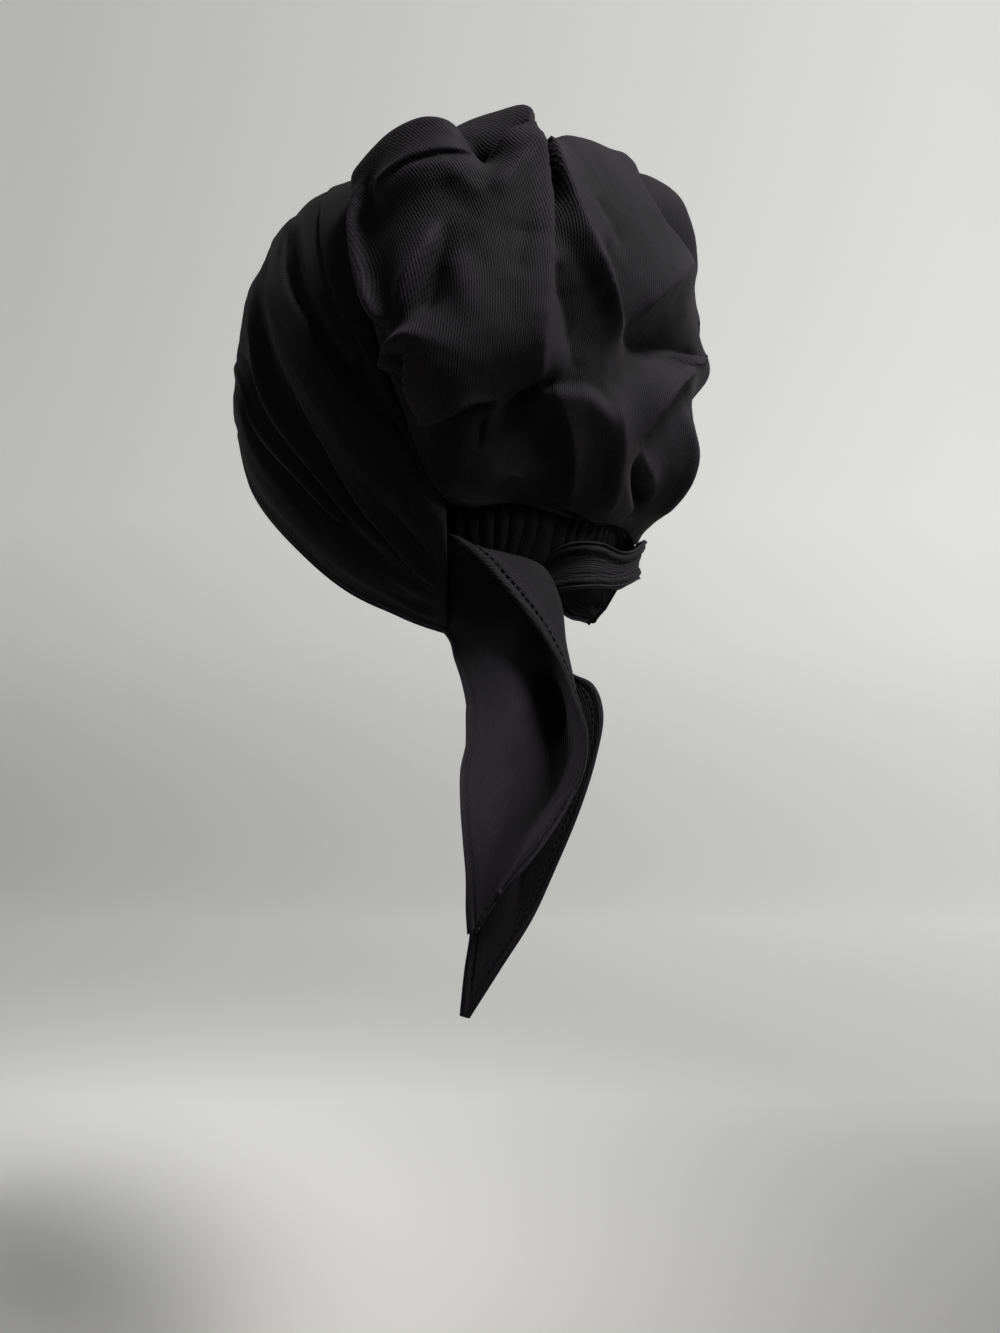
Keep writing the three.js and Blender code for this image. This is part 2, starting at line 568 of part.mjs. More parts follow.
function rightTie() {
  const upper = RIGHT_TIE.map((row) => tiePoint(row.upper));
  const lower = RIGHT_TIE.map((row) => tiePoint(row.lower));
  const middle = RIGHT_TIE.map((row, i) => {
    const before = Math.max(i - 1, 0);
    const after = Math.min(i + 1, RIGHT_TIE.length - 1);
    const along = upper[after].clone().sub(upper[before]);
    const face = lower[i].clone().sub(upper[i]).cross(along).normalize();
    return upper[i].clone().add(lower[i]).multiplyScalar(0.5).addScaledVector(face, row.bow);
  });
  lower.unshift(bandEnd(-1, TIE_ROOT.right.from));
  middle.unshift(bandEnd(-1, (TIE_ROOT.right.from + TIE_ROOT.right.to) / 2));
  upper.unshift(bandEnd(-1, TIE_ROOT.right.to));
  return tieCloth('right_tie', [lower, middle, upper], TIE_STEPS.right);
}

// ---- Nape elastic ----
function napeElastic() {
  const rows = [];
  for (let i = 0; i <= ELASTIC_STEPS.along; i += 1) {
    const part = i / ELASTIC_STEPS.along;
    const clock = THREE.MathUtils.lerp(ELASTIC_BAND.from, ELASTIC_BAND.to, part);
    const top = seamDirection(clock > 180 ? clock - 360 : clock);
    const start = onHead(top, 0);
    const row = [];
    for (let j = 0; j <= ELASTIC_STEPS.across; j += 1) {
      const down = ELASTIC_BAND.tuck + (ELASTIC_BAND.drop * j) / ELASTIC_STEPS.across;
      const aim = start.clone().sub(HEAD_MIDDLE);
      aim.z -= down;
      const ripple = ELASTIC_BAND.ruffle * Math.cos(2 * Math.PI * ELASTIC_BAND.ruffles * part);
      row.push(onHead(aim, ELASTIC_BAND.lift + ripple));
    }
    rows.push(row.reverse());
  }
  return piece('nape_elastic', clothShell(rows, WALL.elastic), ELASTIC);
}

const group = new THREE.Group();
group.add(frontBand(), crownBag(), napeElastic(), leftTie(), rightTie());
export default group;
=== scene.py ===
"""An underscarf bonnet as it is worn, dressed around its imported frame.

A wide folded band runs from the forehead over the crown, a slouchy gathered bag hangs behind it, a ruched
elastic closes the nape and two tie ends fall below. Sizes are in millimetres until a mesh is made.
The face looks along -Y and the wearer's left is +X.
"""
import logging
import math
from collections.abc import Callable, Sequence
from dataclasses import dataclass, field, replace
from enum import Enum

import bmesh
import bpy
import numpy as np
from mathutils import Matrix, Vector


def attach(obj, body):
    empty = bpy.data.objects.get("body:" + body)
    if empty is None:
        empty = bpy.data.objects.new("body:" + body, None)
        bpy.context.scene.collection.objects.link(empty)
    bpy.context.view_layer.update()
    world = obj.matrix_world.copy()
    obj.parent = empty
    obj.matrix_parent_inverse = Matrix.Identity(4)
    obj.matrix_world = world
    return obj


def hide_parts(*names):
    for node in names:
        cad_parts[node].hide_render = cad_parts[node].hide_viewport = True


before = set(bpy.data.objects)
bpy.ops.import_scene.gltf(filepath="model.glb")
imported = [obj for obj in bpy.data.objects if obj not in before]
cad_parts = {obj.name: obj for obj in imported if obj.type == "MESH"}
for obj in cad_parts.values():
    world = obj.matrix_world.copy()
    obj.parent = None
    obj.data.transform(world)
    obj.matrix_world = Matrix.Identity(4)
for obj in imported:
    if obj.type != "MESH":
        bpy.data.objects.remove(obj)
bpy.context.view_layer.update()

LOG = logging.getLogger("bonnet")
MM = 0.001
TINY = 1e-9
# What a reading's place is kept below a grid's number of places, so that there is a next place to it.
INSIDE = 1.001
UP = np.array([0.0, 0.0, 1.0])
Array = np.ndarray
Row = dict[str, float]
Spot = tuple[float, float, float]


# ---- Choices ----
class Foot(Enum):
    """The side on which the cloth goes down under a fold, seen along the fold's way."""

    NONE = 0
    LEFT = 1
    RIGHT = -1


class Held(Enum):
    """How a piece of cloth is held, in the words of the frame's table."""

    STRETCHED = "stretched"
    GATHERED = "gathered"
    HUNG = "hung"


# ---- Small helpers ----
def smooth_step(low: float, high: float, value: Array) -> Array:
    """A smooth rise from 0 at low to 1 at high."""
    part = np.clip((value - low) / (high - low), 0.0, 1.0)
    return part * part * (3.0 - 2.0 * part)


def bell(value: Array, middle: float, width: float, power: int = 2) -> Array:
    """A bell of height 1 round its middle, and the more square the higher its power."""
    return np.exp(-(((value - middle) / width) ** power))


def unit(vectors: Array) -> Array:
    """Vectors along the last axis, each brought to length 1."""
    return vectors / np.maximum(np.linalg.norm(vectors, axis=-1, keepdims=True), TINY)


def soft_min(a: Array, b: Array, blend: float) -> Array:
    """The lesser of two values, rounded where they cross."""
    share = np.clip(0.5 + (b - a) / (2 * blend), 0.0, 1.0)
    return b + (a - b) * share - blend * share * (1 - share)


def grid(first: Array, second: Array) -> list[Array]:
    """Two grids of values, the one changing along the first axis and the other along the second."""
    return np.meshgrid(first, second, indexing="ij")


def read_column(rows: Sequence[Row], key: str, column: str, at: Array) -> Array:
    """Reads one column of a table smoothly, where its rows rise in another column.

    Args:
        rows: the table's rows.
        key: the column that the rows rise in.
        column: the column to read.
        at: the places to read, in the key column's units.

    Returns:
        The column's value at each place.
    """
    keys = np.array([row[key] for row in rows], float)
    values = np.array([row[column] for row in rows], float)
    last = len(rows) - 1
    before = np.maximum(np.arange(last + 1) - 1, 0)
    after = np.minimum(np.arange(last + 1) + 1, last)
    slopes = (values[after] - values[before]) / (keys[after] - keys[before])
    place = np.clip(at, keys[0], keys[-1])
    i = np.clip(np.searchsorted(keys, place, side="right") - 1, 0, last - 1)
    span = keys[i + 1] - keys[i]
    part = (place - keys[i]) / span
    rise = values[i + 1] - values[i]
    bend = (1 - part) * (slopes[i] * span - rise) - part * (slopes[i + 1] * span - rise)
    return values[i] + part * rise + part * (1 - part) * bend


def read_line(places: Array, columns: Array, at: Array | float) -> Array:
    """Reads every column of a line of points straight between them, by their places along it."""
    return np.stack([np.interp(at, places, column) for column in columns.T], axis=-1)


def smooth_line(points: Array, at: Array) -> Array:
    """A smooth line through points, spaced by the roots of their distances so that it never loops.

    Args:
        points: the points, along the first axis, with x, y, z along the last.
        at: places from 0 to 1 along the line.

    Returns:
        The line's points, with the places along the first axis.
    """
    last = len(points) - 1
    ends = [2 * points[:1] - points[1:2], points, 2 * points[-1:] - points[-2:-1]]
    padded = np.concatenate(ends)
    place = np.clip(at, 0.0, 1.0) * last
    i = np.minimum(place.astype(int), last - 1)
    shape = (-1,) + (1,) * (points.ndim - 1)
    t = (place - i).reshape(shape)
    p0, p1, p2, p3 = (padded[i + k] for k in range(4))
    least_step = 1e-3
    step = [np.sqrt(np.linalg.norm(b - a, axis=-1, keepdims=True)) for a, b in ((p0, p1), (p1, p2), (p2, p3))]
    d0, d1, d2 = (np.maximum(s, least_step) for s in step)
    start = ((p1 - p0) / d0 - (p2 - p0) / (d0 + d1) + (p2 - p1) / d1) * d1
    finish = ((p2 - p1) / d1 - (p3 - p1) / (d1 + d2) + (p3 - p2) / d2) * d1
    curve = p1 + start * t + (3 * (p2 - p1) - 2 * start - finish) * t**2
    return curve + (2 * (p1 - p2) + start + finish) * t**3


def arc_lengths(points: Array, axis: int) -> Array:
    """Lengths along a line or a grid of points.

    Args:
        points: the points, with x, y, z along the last axis.
        axis: the axis to measure along.

    Returns:
        The length from the first point on that axis to each point.
    """
    steps = np.linalg.norm(np.diff(points, axis=axis), axis=-1)
    start = np.zeros_like(np.take(steps, [0], axis=axis))
    return np.concatenate([start, np.cumsum(steps, axis=axis)], axis=axis)


def sampled(values: Array, x: Array, y: Array) -> Array:
    """Reads a grid of values between its cells.

    Args:
        values: the grid.
        x: places along its first axis, in cells.
        y: places along its second axis.

    Returns:
        The value at each place.
    """
    x = np.clip(x, 0, values.shape[0] - INSIDE)
    y = np.clip(y, 0, values.shape[1] - INSIDE)
    i, j = x.astype(int), y.astype(int)
    u, v = x - i, y - j
    near = values[i, j] * (1 - v) + values[i, j + 1] * v
    far = values[i + 1, j] * (1 - v) + values[i + 1, j + 1] * v
    return near * (1 - u) + far * u


def blurred(values: Array, across: float, down: float) -> Array:
    """Blurs a grid of values by a bell.

    Args:
        values: the grid.
        across: the bell's width along the first axis, in cells.
        down: its width along the second axis.

    Returns:
        The blurred grid.
    """
    least_cells, bell_reach = 0.3, 3
    for axis, cells in ((0, across), (1, down)):
        if cells < least_cells:
            continue
        reach = max(1, int(bell_reach * cells))
        weights = np.exp(-0.5 * (np.arange(-reach, reach + 1) / cells) ** 2)
        weights /= weights.sum()
        pad = [(reach, reach) if k == axis else (0, 0) for k in range(2)]
        wide = np.pad(values, pad, mode="edge")
        length = values.shape[axis]
        total = np.zeros_like(values)
        for k, weight in enumerate(weights):
            total += weight * np.take(wide, range(k, k + length), axis=axis)
        values = total
    return values


def neighbours_mean(wide: Array) -> Array:
    """The mean of the four cells beside each cell of a grid that is one cell wider on every side."""
    return (wide[:-2, 1:-1] + wide[2:, 1:-1] + wide[1:-1, :-2] + wide[1:-1, 2:]) / 4


def unevenness(shape: tuple[int, int], along: float, across: float, seed: int) -> Array:
    """A field of soft unevenness, of about 1 at most, for hand-made cloth.

    Args:
        shape: the grid's size.
        along: the length of a swelling along the first axis, in cells.
        across: its length along the second axis.
        seed: what the field is drawn from.

    Returns:
        The field's values.
    """
    peak = 2.5
    noise = blurred(np.random.default_rng(seed).normal(size=shape), along, across)
    return noise / (peak * max(float(noise.std()), TINY))


def crumpled(shape: tuple[int, int], seed: int, layers: Sequence[Spot]) -> Array:
    """Small unevenness in layers.

    Args:
        shape: the grid's size.
        seed: what the first layer is drawn from. Each layer after it has the next number.
        layers: for each, its rise in millimetres and the lengths of its swellings along the two axes.

    Returns:
        The height that they add, in millimetres.
    """
    return sum(rise * unevenness(shape, *cells, seed + k) for k, (rise, *cells) in enumerate(layers))


def way_distance(points: Array, way: Array) -> tuple[Array, Array, Array]:
    """How points lie to a line of short straight runs in a plane.

    Args:
        points: the points, with x and y along the last axis.
        way: the line's points.

    Returns:
        The distance, more than 0 to the left of the line, the share of the way, and the unit vector
        to the left.
    """
    gap = np.full(points.shape[:-1], np.inf)
    signed = np.zeros_like(gap)
    share = np.zeros_like(gap)
    leftward = np.zeros_like(points)
    runs = len(way) - 1
    for i in range(runs):
        run = way[i + 1] - way[i]
        off = points - way[i]
        along = np.clip((off @ run) / max(float(run @ run), TINY), 0.0, 1.0)
        here = np.linalg.norm(off - along[..., None] * run, axis=-1)
        nearer = here < gap
        left = run[0] * off[..., 1] - run[1] * off[..., 0]
        gap = np.where(nearer, here, gap)
        signed = np.where(nearer, np.where(left > 0, here, -here), signed)
        share = np.where(nearer, (i + along) / runs, share)
        normal = np.array([-run[1], run[0]]) / max(float(np.linalg.norm(run)), TINY)
        leftward = np.where(nearer[..., None], normal, leftward)
    return signed, share, leftward


# ---- Folds ----
@dataclass(frozen=True)
class Fold:
    """One ridge, crease or overlapping edge that the taut cloth runs between.

    way holds the places it goes through on the piece's map, each with the cloth's height there in mm.
    soft is the radius that it is rounded to. Where foot names a side, the cloth there goes down by drop,
    and the upper edge leans over it by lap.
    """

    name: str
    way: tuple[Spot, ...]
    soft: float = 1.0
    foot: Foot = Foot.NONE
    drop: float = 0.0
    lap: float = 1.2


@dataclass(frozen=True)
class Crinkle:
    """A small crease laid over the taut cloth: its way on the map, its rise, and its width to each side."""

    name: str
    way: tuple[tuple[float, float], ...]
    rise: float
    left: float
    right: float


# How far the foot of a fold lies beside its edge, and how far back the edge's lean goes, in millimetres.
FOOT_GAP, LAP_REACH = 1.7, 5.0
# The share at each end of a way over which a fold's lean and a crinkle fade, and how fully a drop keeps
# its depth towards its ends. A crinkle keeps a little of its rise there.
LEAN_END, CRINKLE_END, DROP_END = 0.15, 0.25, 0.35
CRINKLE_KEPT, CRINKLE_SHARPNESS = 0.2, 1.5
# The radii at which the taut heights are kept, each twice the last, and the radius away from all folds.
SOFT_STEPS, REST_SOFT = (0.7, 1.4, 2.8, 5.6), 3.0
# How many times coarser than the finest cells each round of the taut cloth is, and its passes.
ROUNDS = ((16, 60), (8, 60), (4, 60), (2, 60), (1, 30))


@dataclass
class FoldMap:
    """The height of cloth over a smooth form: it is taut between its folds, as real cloth is.

    low and high are the map's corners, span the millimetres for one unit of each axis, and cell the size
    of the finest cells that the heights are worked out on. form gives the smooth form's points at places
    on the map, and taut how far the cloth is pulled straight across its hollows, from 0, where it follows
    that form, to 1, where it runs straight from fold to fold. On a round map the cloth is held beyond
    rim, else along its two long sides.
    """

    low: tuple[float, float]
    high: tuple[float, float]
    span: tuple[float, float]
    folds: Sequence[Fold]
    crinkles: Sequence[Crinkle] = ()
    cell: float = 0.6
    round_map: bool = False
    rim: float = 0.995
    form: Callable[[Array], Array] | None = None
    taut: float = 0.0
    heights: list[Array] = field(default_factory=list)
    softness: Array | None = None

    def to_mm(self, places: Array) -> Array:
        """Places on the map in millimetres from its lower corner."""
        return (places - np.array(self.low)) * np.array(self.span)

    def fine_way(self, places: Sequence[Sequence[float]], steps: int = 14) -> Array:
        """The smooth line that a fold takes.

        Args:
            places: the places it goes through, each with its height.
            steps: the number of short straight runs from one to the next.

        Returns:
            Its points in millimetres, with their heights in a third column.
        """
        rows = np.array(places, float)
        rows[:, :2] = self.to_mm(rows[:, :2])
        return smooth_line(rows, np.linspace(0, 1, steps * (len(rows) - 1) + 1))

    def lines(self) -> list[tuple[Array, float]]:
        """Lays out every line that fixes the cloth's height: the folds, and the feet under their edges.

        Returns:
            For each, its points in millimetres with their heights, and how soft it is.
        """
        found = []
        for fold in self.folds:
            way = self.fine_way(fold.way)
            found.append((way, fold.soft))
            if fold.foot is not Foot.NONE:
                run = unit(np.gradient(way[:, :2], axis=0))
                side = fold.foot.value * np.stack([-run[:, 1], run[:, 0]], axis=1)
                foot = way.copy()
                foot[:, :2] += FOOT_GAP * side
                foot[:, 2] -= fold.drop * np.sin(np.linspace(0, math.pi, len(way))) ** DROP_END
                found.append((foot, fold.soft))
        return found

    def held(
        self, lines: Sequence[tuple[Array, float]], cell: float, shape: tuple[int, int]
    ) -> tuple[Array, Array]:
        """Where the folds and the rim hold the cloth.

        Args:
            lines: the lines that fix its height, each with how soft it is.
            cell: the size of a cell in millimetres.
            shape: the number of cells along each axis.

        Returns:
            The height and the softness of each held cell, and which cells are held.
        """
        least_dots, dots_in_cell = 4, 2.5
        total, count = np.zeros((2, *shape)), np.zeros(shape)
        for way, soft in lines:
            length = np.linalg.norm(np.diff(way[:, :2], axis=0), axis=1).sum()
            steps = np.linspace(0, len(way) - 1, max(least_dots, int(dots_in_cell * length / cell)))
            dots = read_line(np.arange(len(way)), way, steps)
            spots = np.rint(dots[:, :2] / cell).astype(int)
            ok = ((spots >= 0) & (spots < np.array(shape))).all(axis=1)
            spots = (spots[ok, 0], spots[ok, 1])
            np.add.at(total[0], spots, dots[ok, 2])
            np.add.at(total[1], spots, math.log2(soft))
            np.add.at(count, spots, 1)
        fixed = count > 0
        value = total / np.maximum(count, 1)
        x, y = grid(*(np.linspace(-1, 1, n) for n in shape))
        edge = np.hypot(x, y) >= self.rim if self.round_map else np.zeros(shape, bool)
        edge[:, 0] = edge[:, -1] = True
        value[0][edge & ~fixed] = 0.0
        value[1][edge & ~fixed] = math.log2(REST_SOFT)
        return value, fixed | edge

    def solve(self) -> None:
        """Works out the heights, from coarse cells to fine ones."""
        size = (np.array(self.high) - np.array(self.low)) * np.array(self.span)
        lines = self.lines()
        state: Array | None = None
        for coarse, passes in ROUNDS:
            cell = self.cell * coarse
            shape = tuple(int(n) for n in np.ceil(size / cell) + 1)
            value, fixed = self.held(lines, cell, shape)
            pull = np.stack([self.pull(shape), np.zeros(shape)])
            if state is None:
                state = np.stack([np.zeros(shape), np.full(shape, math.log2(REST_SOFT))])
            else:
                at = grid(*(np.linspace(0, n - 1, m) for n, m in zip(state.shape[1:], shape)))
                state = np.stack([sampled(layer, *at) for layer in state])
            for _ in range(passes):
                wide = np.pad(state, ((0, 0), (1, 1), (1, 1)), mode="edge")
                mean = np.stack([neighbours_mean(layer) for layer in wide])
                state = np.where(fixed, value, mean + pull)
        self.heights = [blurred(state[0], s / self.cell, s / self.cell) for s in SOFT_STEPS]
        self.softness = blurred(state[1], 2, 2)

    def pull(self, shape: tuple[int, int]) -> Array:
        """How far taut cloth is pulled in or out by the smooth form's own roundness.

        Args:
            shape: the number of cells along each axis of a grid over the map.

        Returns:
            How far the middle of the four cells beside each cell lies off the form there.
        """
        if self.form is None:
            return np.zeros(shape)
        axes = [np.linspace(low, high, n) for low, high, n in zip(self.low, self.high, shape)]
        points = self.form(np.stack(grid(*axes), axis=-1))
        wide = np.pad(points, ((1, 1), (1, 1), (0, 0)), mode="reflect", reflect_type="odd")
        normal = unit(np.cross(wide[2:, 1:-1] - wide[:-2, 1:-1], wide[1:-1, 2:] - wide[1:-1, :-2]))
        return self.taut * ((neighbours_mean(wide) - points) * normal).sum(axis=-1)

    def lift(self, places: Array) -> Array:
        """Reads the cloth's height, which is worked out the first time.

        Args:
            places: places on the map.

        Returns:
            The height at each place, in millimetres.
        """
        if self.softness is None:
            self.solve()
        x, y = np.moveaxis(self.to_mm(places) / self.cell, -1, 0)
        level = sampled(self.softness, x, y) - math.log2(SOFT_STEPS[0])
        level = np.clip(level, 0, len(SOFT_STEPS) - INSIDE)
        layers = np.stack([sampled(layer, x, y) for layer in self.heights])
        i = level.astype(int)
        low = np.take_along_axis(layers, i[None], axis=0)[0]
        high = np.take_along_axis(layers, i[None] + 1, axis=0)[0]
        height = low + (high - low) * (level - i)
        for crinkle in self.crinkles:
            way = self.fine_way([(*place, 0.0) for place in crinkle.way])[:, :2]
            gap, share, _ = way_distance(self.to_mm(places), way)
            width = np.where(gap > 0, crinkle.left, crinkle.right)
            ends = smooth_step(0, CRINKLE_END, share) * (1 - smooth_step(1 - CRINKLE_END, 1, share))
            rise = crinkle.rise * (CRINKLE_KEPT + (1 - CRINKLE_KEPT) * ends)
            height = height + rise * np.exp(-((np.abs(gap) / width) ** CRINKLE_SHARPNESS))
        return height

    def lean(self, places: Array) -> Array:
        """Works out how far the cloth leans over the foot of its overlapping edges.

        Args:
            places: places on the map.

        Returns:
            How far the cloth at each place has moved, in the map's units.
        """
        shift = np.zeros_like(places)
        spots = self.to_mm(places)
        for fold in self.folds:
            if fold.foot is Foot.NONE or fold.lap == 0:
                continue
            gap, share, leftward = way_distance(spots, self.fine_way(fold.way)[:, :2])
            toward = fold.foot.value * gap
            ends = smooth_step(0, LEAN_END, share) * (1 - smooth_step(1 - LEAN_END, 1, share))
            near = np.where(toward > 0, np.clip(1 - toward / FOOT_GAP, 0, 1), bell(toward, 0, LAP_REACH))
            shift += (fold.lap * fold.foot.value * ends * near)[..., None] * leftward
        return shift / np.array(self.span)


# ---- The head form that the cloth follows ----
@dataclass(frozen=True)
class Head:
    """A head of 56 cm round, as the half sizes of its rounded form from its middle."""

    half_width: float = 75
    front: float = 95
    back: float = 94
    up: float = 91
    down: float = 122
    middle: float = 48
    crown_fullness: float = 2.8
    nape_fullness: float = 2.5

    def centre(self) -> Array:
        """The middle of the head."""
        return self.middle * UP

    def reach(self, direction: Array) -> Array:
        """Measures the head along directions from its middle.

        Args:
            direction: the unit directions.

        Returns:
            The distance to its surface along each.
        """
        x, y, z = np.moveaxis(direction, -1, 0)
        depth = np.where(y < 0, self.front, self.back)
        height = np.where(z > 0, self.up, self.down)
        fullness = np.where(z > 0, self.crown_fullness, self.nape_fullness)
        level = np.hypot(x / self.half_width, y / depth)
        return (level**fullness + np.abs(z / height) ** fullness) ** (-1 / fullness)

    def over(self, direction: Array, lift: Array) -> Array:
        """The points over the head along directions, with the cloth lift millimetres off it."""
        way = unit(direction)
        return self.centre() + way * (self.reach(way) + lift)[..., None]


HEAD = Head()
# The angle round the bag at which the band ends and the elastic goes on.
SEAM_CORNER = 146.0
# How much higher the hem is at the band's right end, and how much further both ends stand off the nape.
HEM_HITCH, NAPE_LIFT = 9.0, 2.0
# The share of the band's half length past which its end begins.
BAND_END = 0.86
# How low and how high the hem is looked for, as angles from the middle of the head, and how often that
# range is halved.
HEM_LOWEST, HEM_HIGHEST, HEM_HALVINGS = math.radians(-75), math.radians(20), 30

# The hem of the band on the wearer's left: the place along the band, the angle round the head from the
# face, and the height.
HEM = (
    {"reach": 0.00, "turn": 0, "level": 50},
    {"reach": 0.25, "turn": 33, "level": 46},
    {"reach": 0.43, "turn": 57, "level": 34},
    {"reach": 0.52, "turn": 70, "level": 10},
    {"reach": 0.64, "turn": 93, "level": -17},
    {"reach": 0.78, "turn": 113, "level": -36},
    {"reach": 0.90, "turn": 132, "level": -46},
    {"reach": 1.00, "turn": 148, "level": -51},
)

# The seam between the band and the bag, by the angle round the bag as seen from behind.
SEAM = (
    {"clock": 0, "x": 0, "y": 12, "z": 152},
    {"clock": 14, "x": 21, "y": 13.5, "z": 151},
    {"clock": 35, "x": 49, "y": 25, "z": 144},
    {"clock": 62, "x": 62, "y": 37, "z": 116},
    {"clock": 85, "x": 69, "y": 48, "z": 84},
    {"clock": 104, "x": 69, "y": 55, "z": 56},
    {"clock": 124, "x": 64, "y": 63, "z": 27},
    {"clock": 146, "x": 52, "y": 74, "z": -8},
    {"clock": 163, "x": 28, "y": 88, "z": -9},
    {"clock": 180, "x": 0, "y": 94, "z": -10},
)

# How far the band stands off the head, from the hem to the seam, under its folds.
BAND_LIFT = (
    {"across": 0.00, "lift": 1.5},
    {"across": 0.12, "lift": 3.5},
    {"across": 0.40, "lift": 5.0},
    {"across": 0.80, "lift": 8.0},
    {"across": 0.94, "lift": 6.5},
    {"across": 1.00, "lift": 4.0},
)


def seam_direction(clock: Array) -> Array:
    """Works out directions from the middle of the head to the seam.

    Args:
        clock: angles round the bag in degrees, less than 0 on the wearer's right.

    Returns:
        The unit directions.
    """
    side = np.where(clock < 0, -1.0, 1.0)
    x, y, z = (read_column(SEAM, "clock", axis, np.abs(clock)) for axis in "xyz")
    return unit(np.stack([side * x, y, z], axis=-1) - HEAD.centre())


def hem_direction(reach: Array) -> Array:
    """Works out directions from the middle of the head to the band's hem.

    Args:
        reach: places along the band, from -1 to 1.

    Returns:
        The unit directions.
    """
    side = np.where(reach < 0, -1.0, 1.0)
    turn = np.radians(read_column(HEM, "reach", "turn", np.abs(reach)))
    hitch = np.where(reach < 0, HEM_HITCH * smooth_step(0.7, 1.0, -reach), 0.0)
    rise = read_column(HEM, "reach", "level", np.abs(reach)) + hitch - HEAD.middle
    low, high = np.full(reach.shape, HEM_LOWEST), np.full(reach.shape, HEM_HIGHEST)
    for _ in range(HEM_HALVINGS):
        middle = (low + high) / 2
        flat = np.cos(middle)
        aim = np.stack([np.sin(turn) * flat, -np.cos(turn) * flat, np.sin(middle)], axis=-1)
        under = aim[..., 2] * (HEAD.reach(aim) + BAND_LIFT[0]["lift"]) < rise
        low, high = np.where(under, middle, low), np.where(under, high, middle)
    return aim * np.stack([side, np.ones_like(side), np.ones_like(side)], axis=-1)


def band_surface(reach: Array, across: Array, fold_lift: Array | float = 0.0) -> Array:
    """Points of the band over the head.

    Args:
        reach: places along the band, from -1 at the wearer's right end to 1 at the left one.
        across: places from the hem, at 0, to the seam, at 1.
        fold_lift: the height that the folds add.

    Returns:
        The points.
    """
    low, high = hem_direction(reach), seam_direction(reach * SEAM_CORNER)
    angle = np.arccos(np.clip((low * high).sum(axis=-1), -1, 1))
    first, second = np.sin((1 - across) * angle), np.sin(across * angle)
    direction = low * first[..., None] + high * second[..., None]
    end = smooth_step(BAND_END, 1.0, np.abs(reach))
    lift = read_column(BAND_LIFT, "across", "lift", across) + NAPE_LIFT * end
    return HEAD.over(direction, lift + fold_lift)


# ---- Cloth meshes ----
def made_object(form: bmesh.types.BMesh, name: str) -> bpy.types.Object:
    """Makes a worked form an object of the scene, shaded smooth, at the origin.

    Args:
        form: the form, which is freed.
        name: the object's name.

    Returns:
        The object.
    """
    mesh = bpy.data.meshes.new(name)
    form.to_mesh(mesh)
    form.free()
    mesh.polygons.foreach_set("use_smooth", np.ones(len(mesh.polygons), bool))
    made = bpy.data.objects.new(name, mesh)
    bpy.context.scene.collection.objects.link(made)
    return made


@dataclass
class Cloth:
    """A grid of points of one sheet's outer face, with where each is on the flat cut cloth."""

    points: Array
    cut: Array

    def normals(self) -> Array:
        """The outward normals."""
        along = np.gradient(self.points, axis=0)
        across = np.gradient(self.points, axis=1)
        return unit(np.cross(along, across))

    def raised(self, height: Array) -> "Cloth":
        """The same cloth with heights added along its normals."""
        return Cloth(self.points + self.normals() * height[..., None], self.cut)

    def bulge(self, cells: float = 3.0) -> Array:
        """How much each point stands out of the cloth within so many cells, in millimetres."""
        mean = np.stack([blurred(self.points[..., k], cells, cells) for k in range(3)], axis=-1)
        return ((self.points - mean) * self.normals()).sum(axis=-1)

    def build(self, name: str, wall: float) -> bpy.types.Object:
        """Makes the sheet an object with a wall.

        Args:
            name: the object's name.
            wall: the cloth's thickness in millimetres.

        Returns:
            The object.
        """
        steps = (self.points.shape[0] - 1, self.points.shape[1] - 1)
        form = bmesh.new()
        bmesh.ops.create_grid(form, x_segments=steps[0], y_segments=steps[1], size=0.5)
        piece = made_object(form, name)
        mesh = piece.data
        flat = np.empty(len(mesh.vertices) * 3)
        mesh.vertices.foreach_get("co", flat)
        flat = flat.reshape(-1, 3) + 0.5
        i = np.rint(flat[:, 0] * steps[0]).astype(int)
        j = np.rint(flat[:, 1] * steps[1]).astype(int)
        mesh.vertices.foreach_set("co", (self.points[i, j] * MM).astype(np.float32).ravel())
        corner = np.empty(len(mesh.loops), np.int32)
        mesh.loops.foreach_get("vertex_index", corner)
        layer = mesh.uv_layers.new(name="cut")
        layer.uv.foreach_set("vector", (self.cut[i, j][corner] * MM).astype(np.float32).ravel())
        # Lighter where the cloth stands out, as rubbed ridges, and darker in its creases: painted shade.
        wear_and_crease_shade = mesh.attributes.new("wear_and_crease_shade", "FLOAT", "POINT")
        wear_and_crease_shade.data.foreach_set("value", self.bulge()[i, j].astype(np.float32))
        mesh.update()
        thick = piece.modifiers.new("wall", "SOLIDIFY")
        thick.thickness = wall * MM
        thick.offset = -1.0
        return piece


# ---- Finishes ----
def linear(colour: str) -> tuple[float, float, float, float]:
    """Turns a colour to the renderer's linear values.

    Args:
        colour: its six sRGB hex digits.

    Returns:
        Red, green, blue and an alpha of 1.
    """
    parts = [int(colour[k : k + 2], 16) / 255 for k in (0, 2, 4)]
    red, green, blue = (c / 12.92 if c <= 0.04045 else ((c + 0.055) / 1.055) ** 2.4 for c in parts)
    return (red, green, blue, 1.0)


def add_node(
    tree: bpy.types.NodeTree, kind: str, feeds: dict[str | int, object] | None = None, **settings: object
) -> bpy.types.Node:
    """Adds a node with its settings and links.

    Args:
        tree: the material's nodes.
        kind: the node's type.
        feeds: for each input, the socket that feeds it, a node whose first output does, or its value.
        settings: properties of the node.

    Returns:
        The node.
    """
    node = tree.nodes.new(kind)
    for name, value in settings.items():
        setattr(node, name, value)
    for name, feed in (feeds or {}).items():
        if isinstance(feed, bpy.types.Node):
            feed = feed.outputs[0]
        if isinstance(feed, bpy.types.NodeSocket):
            tree.links.new(feed, node.inputs[name])
        else:
            node.inputs[name].default_value = feed
    return node


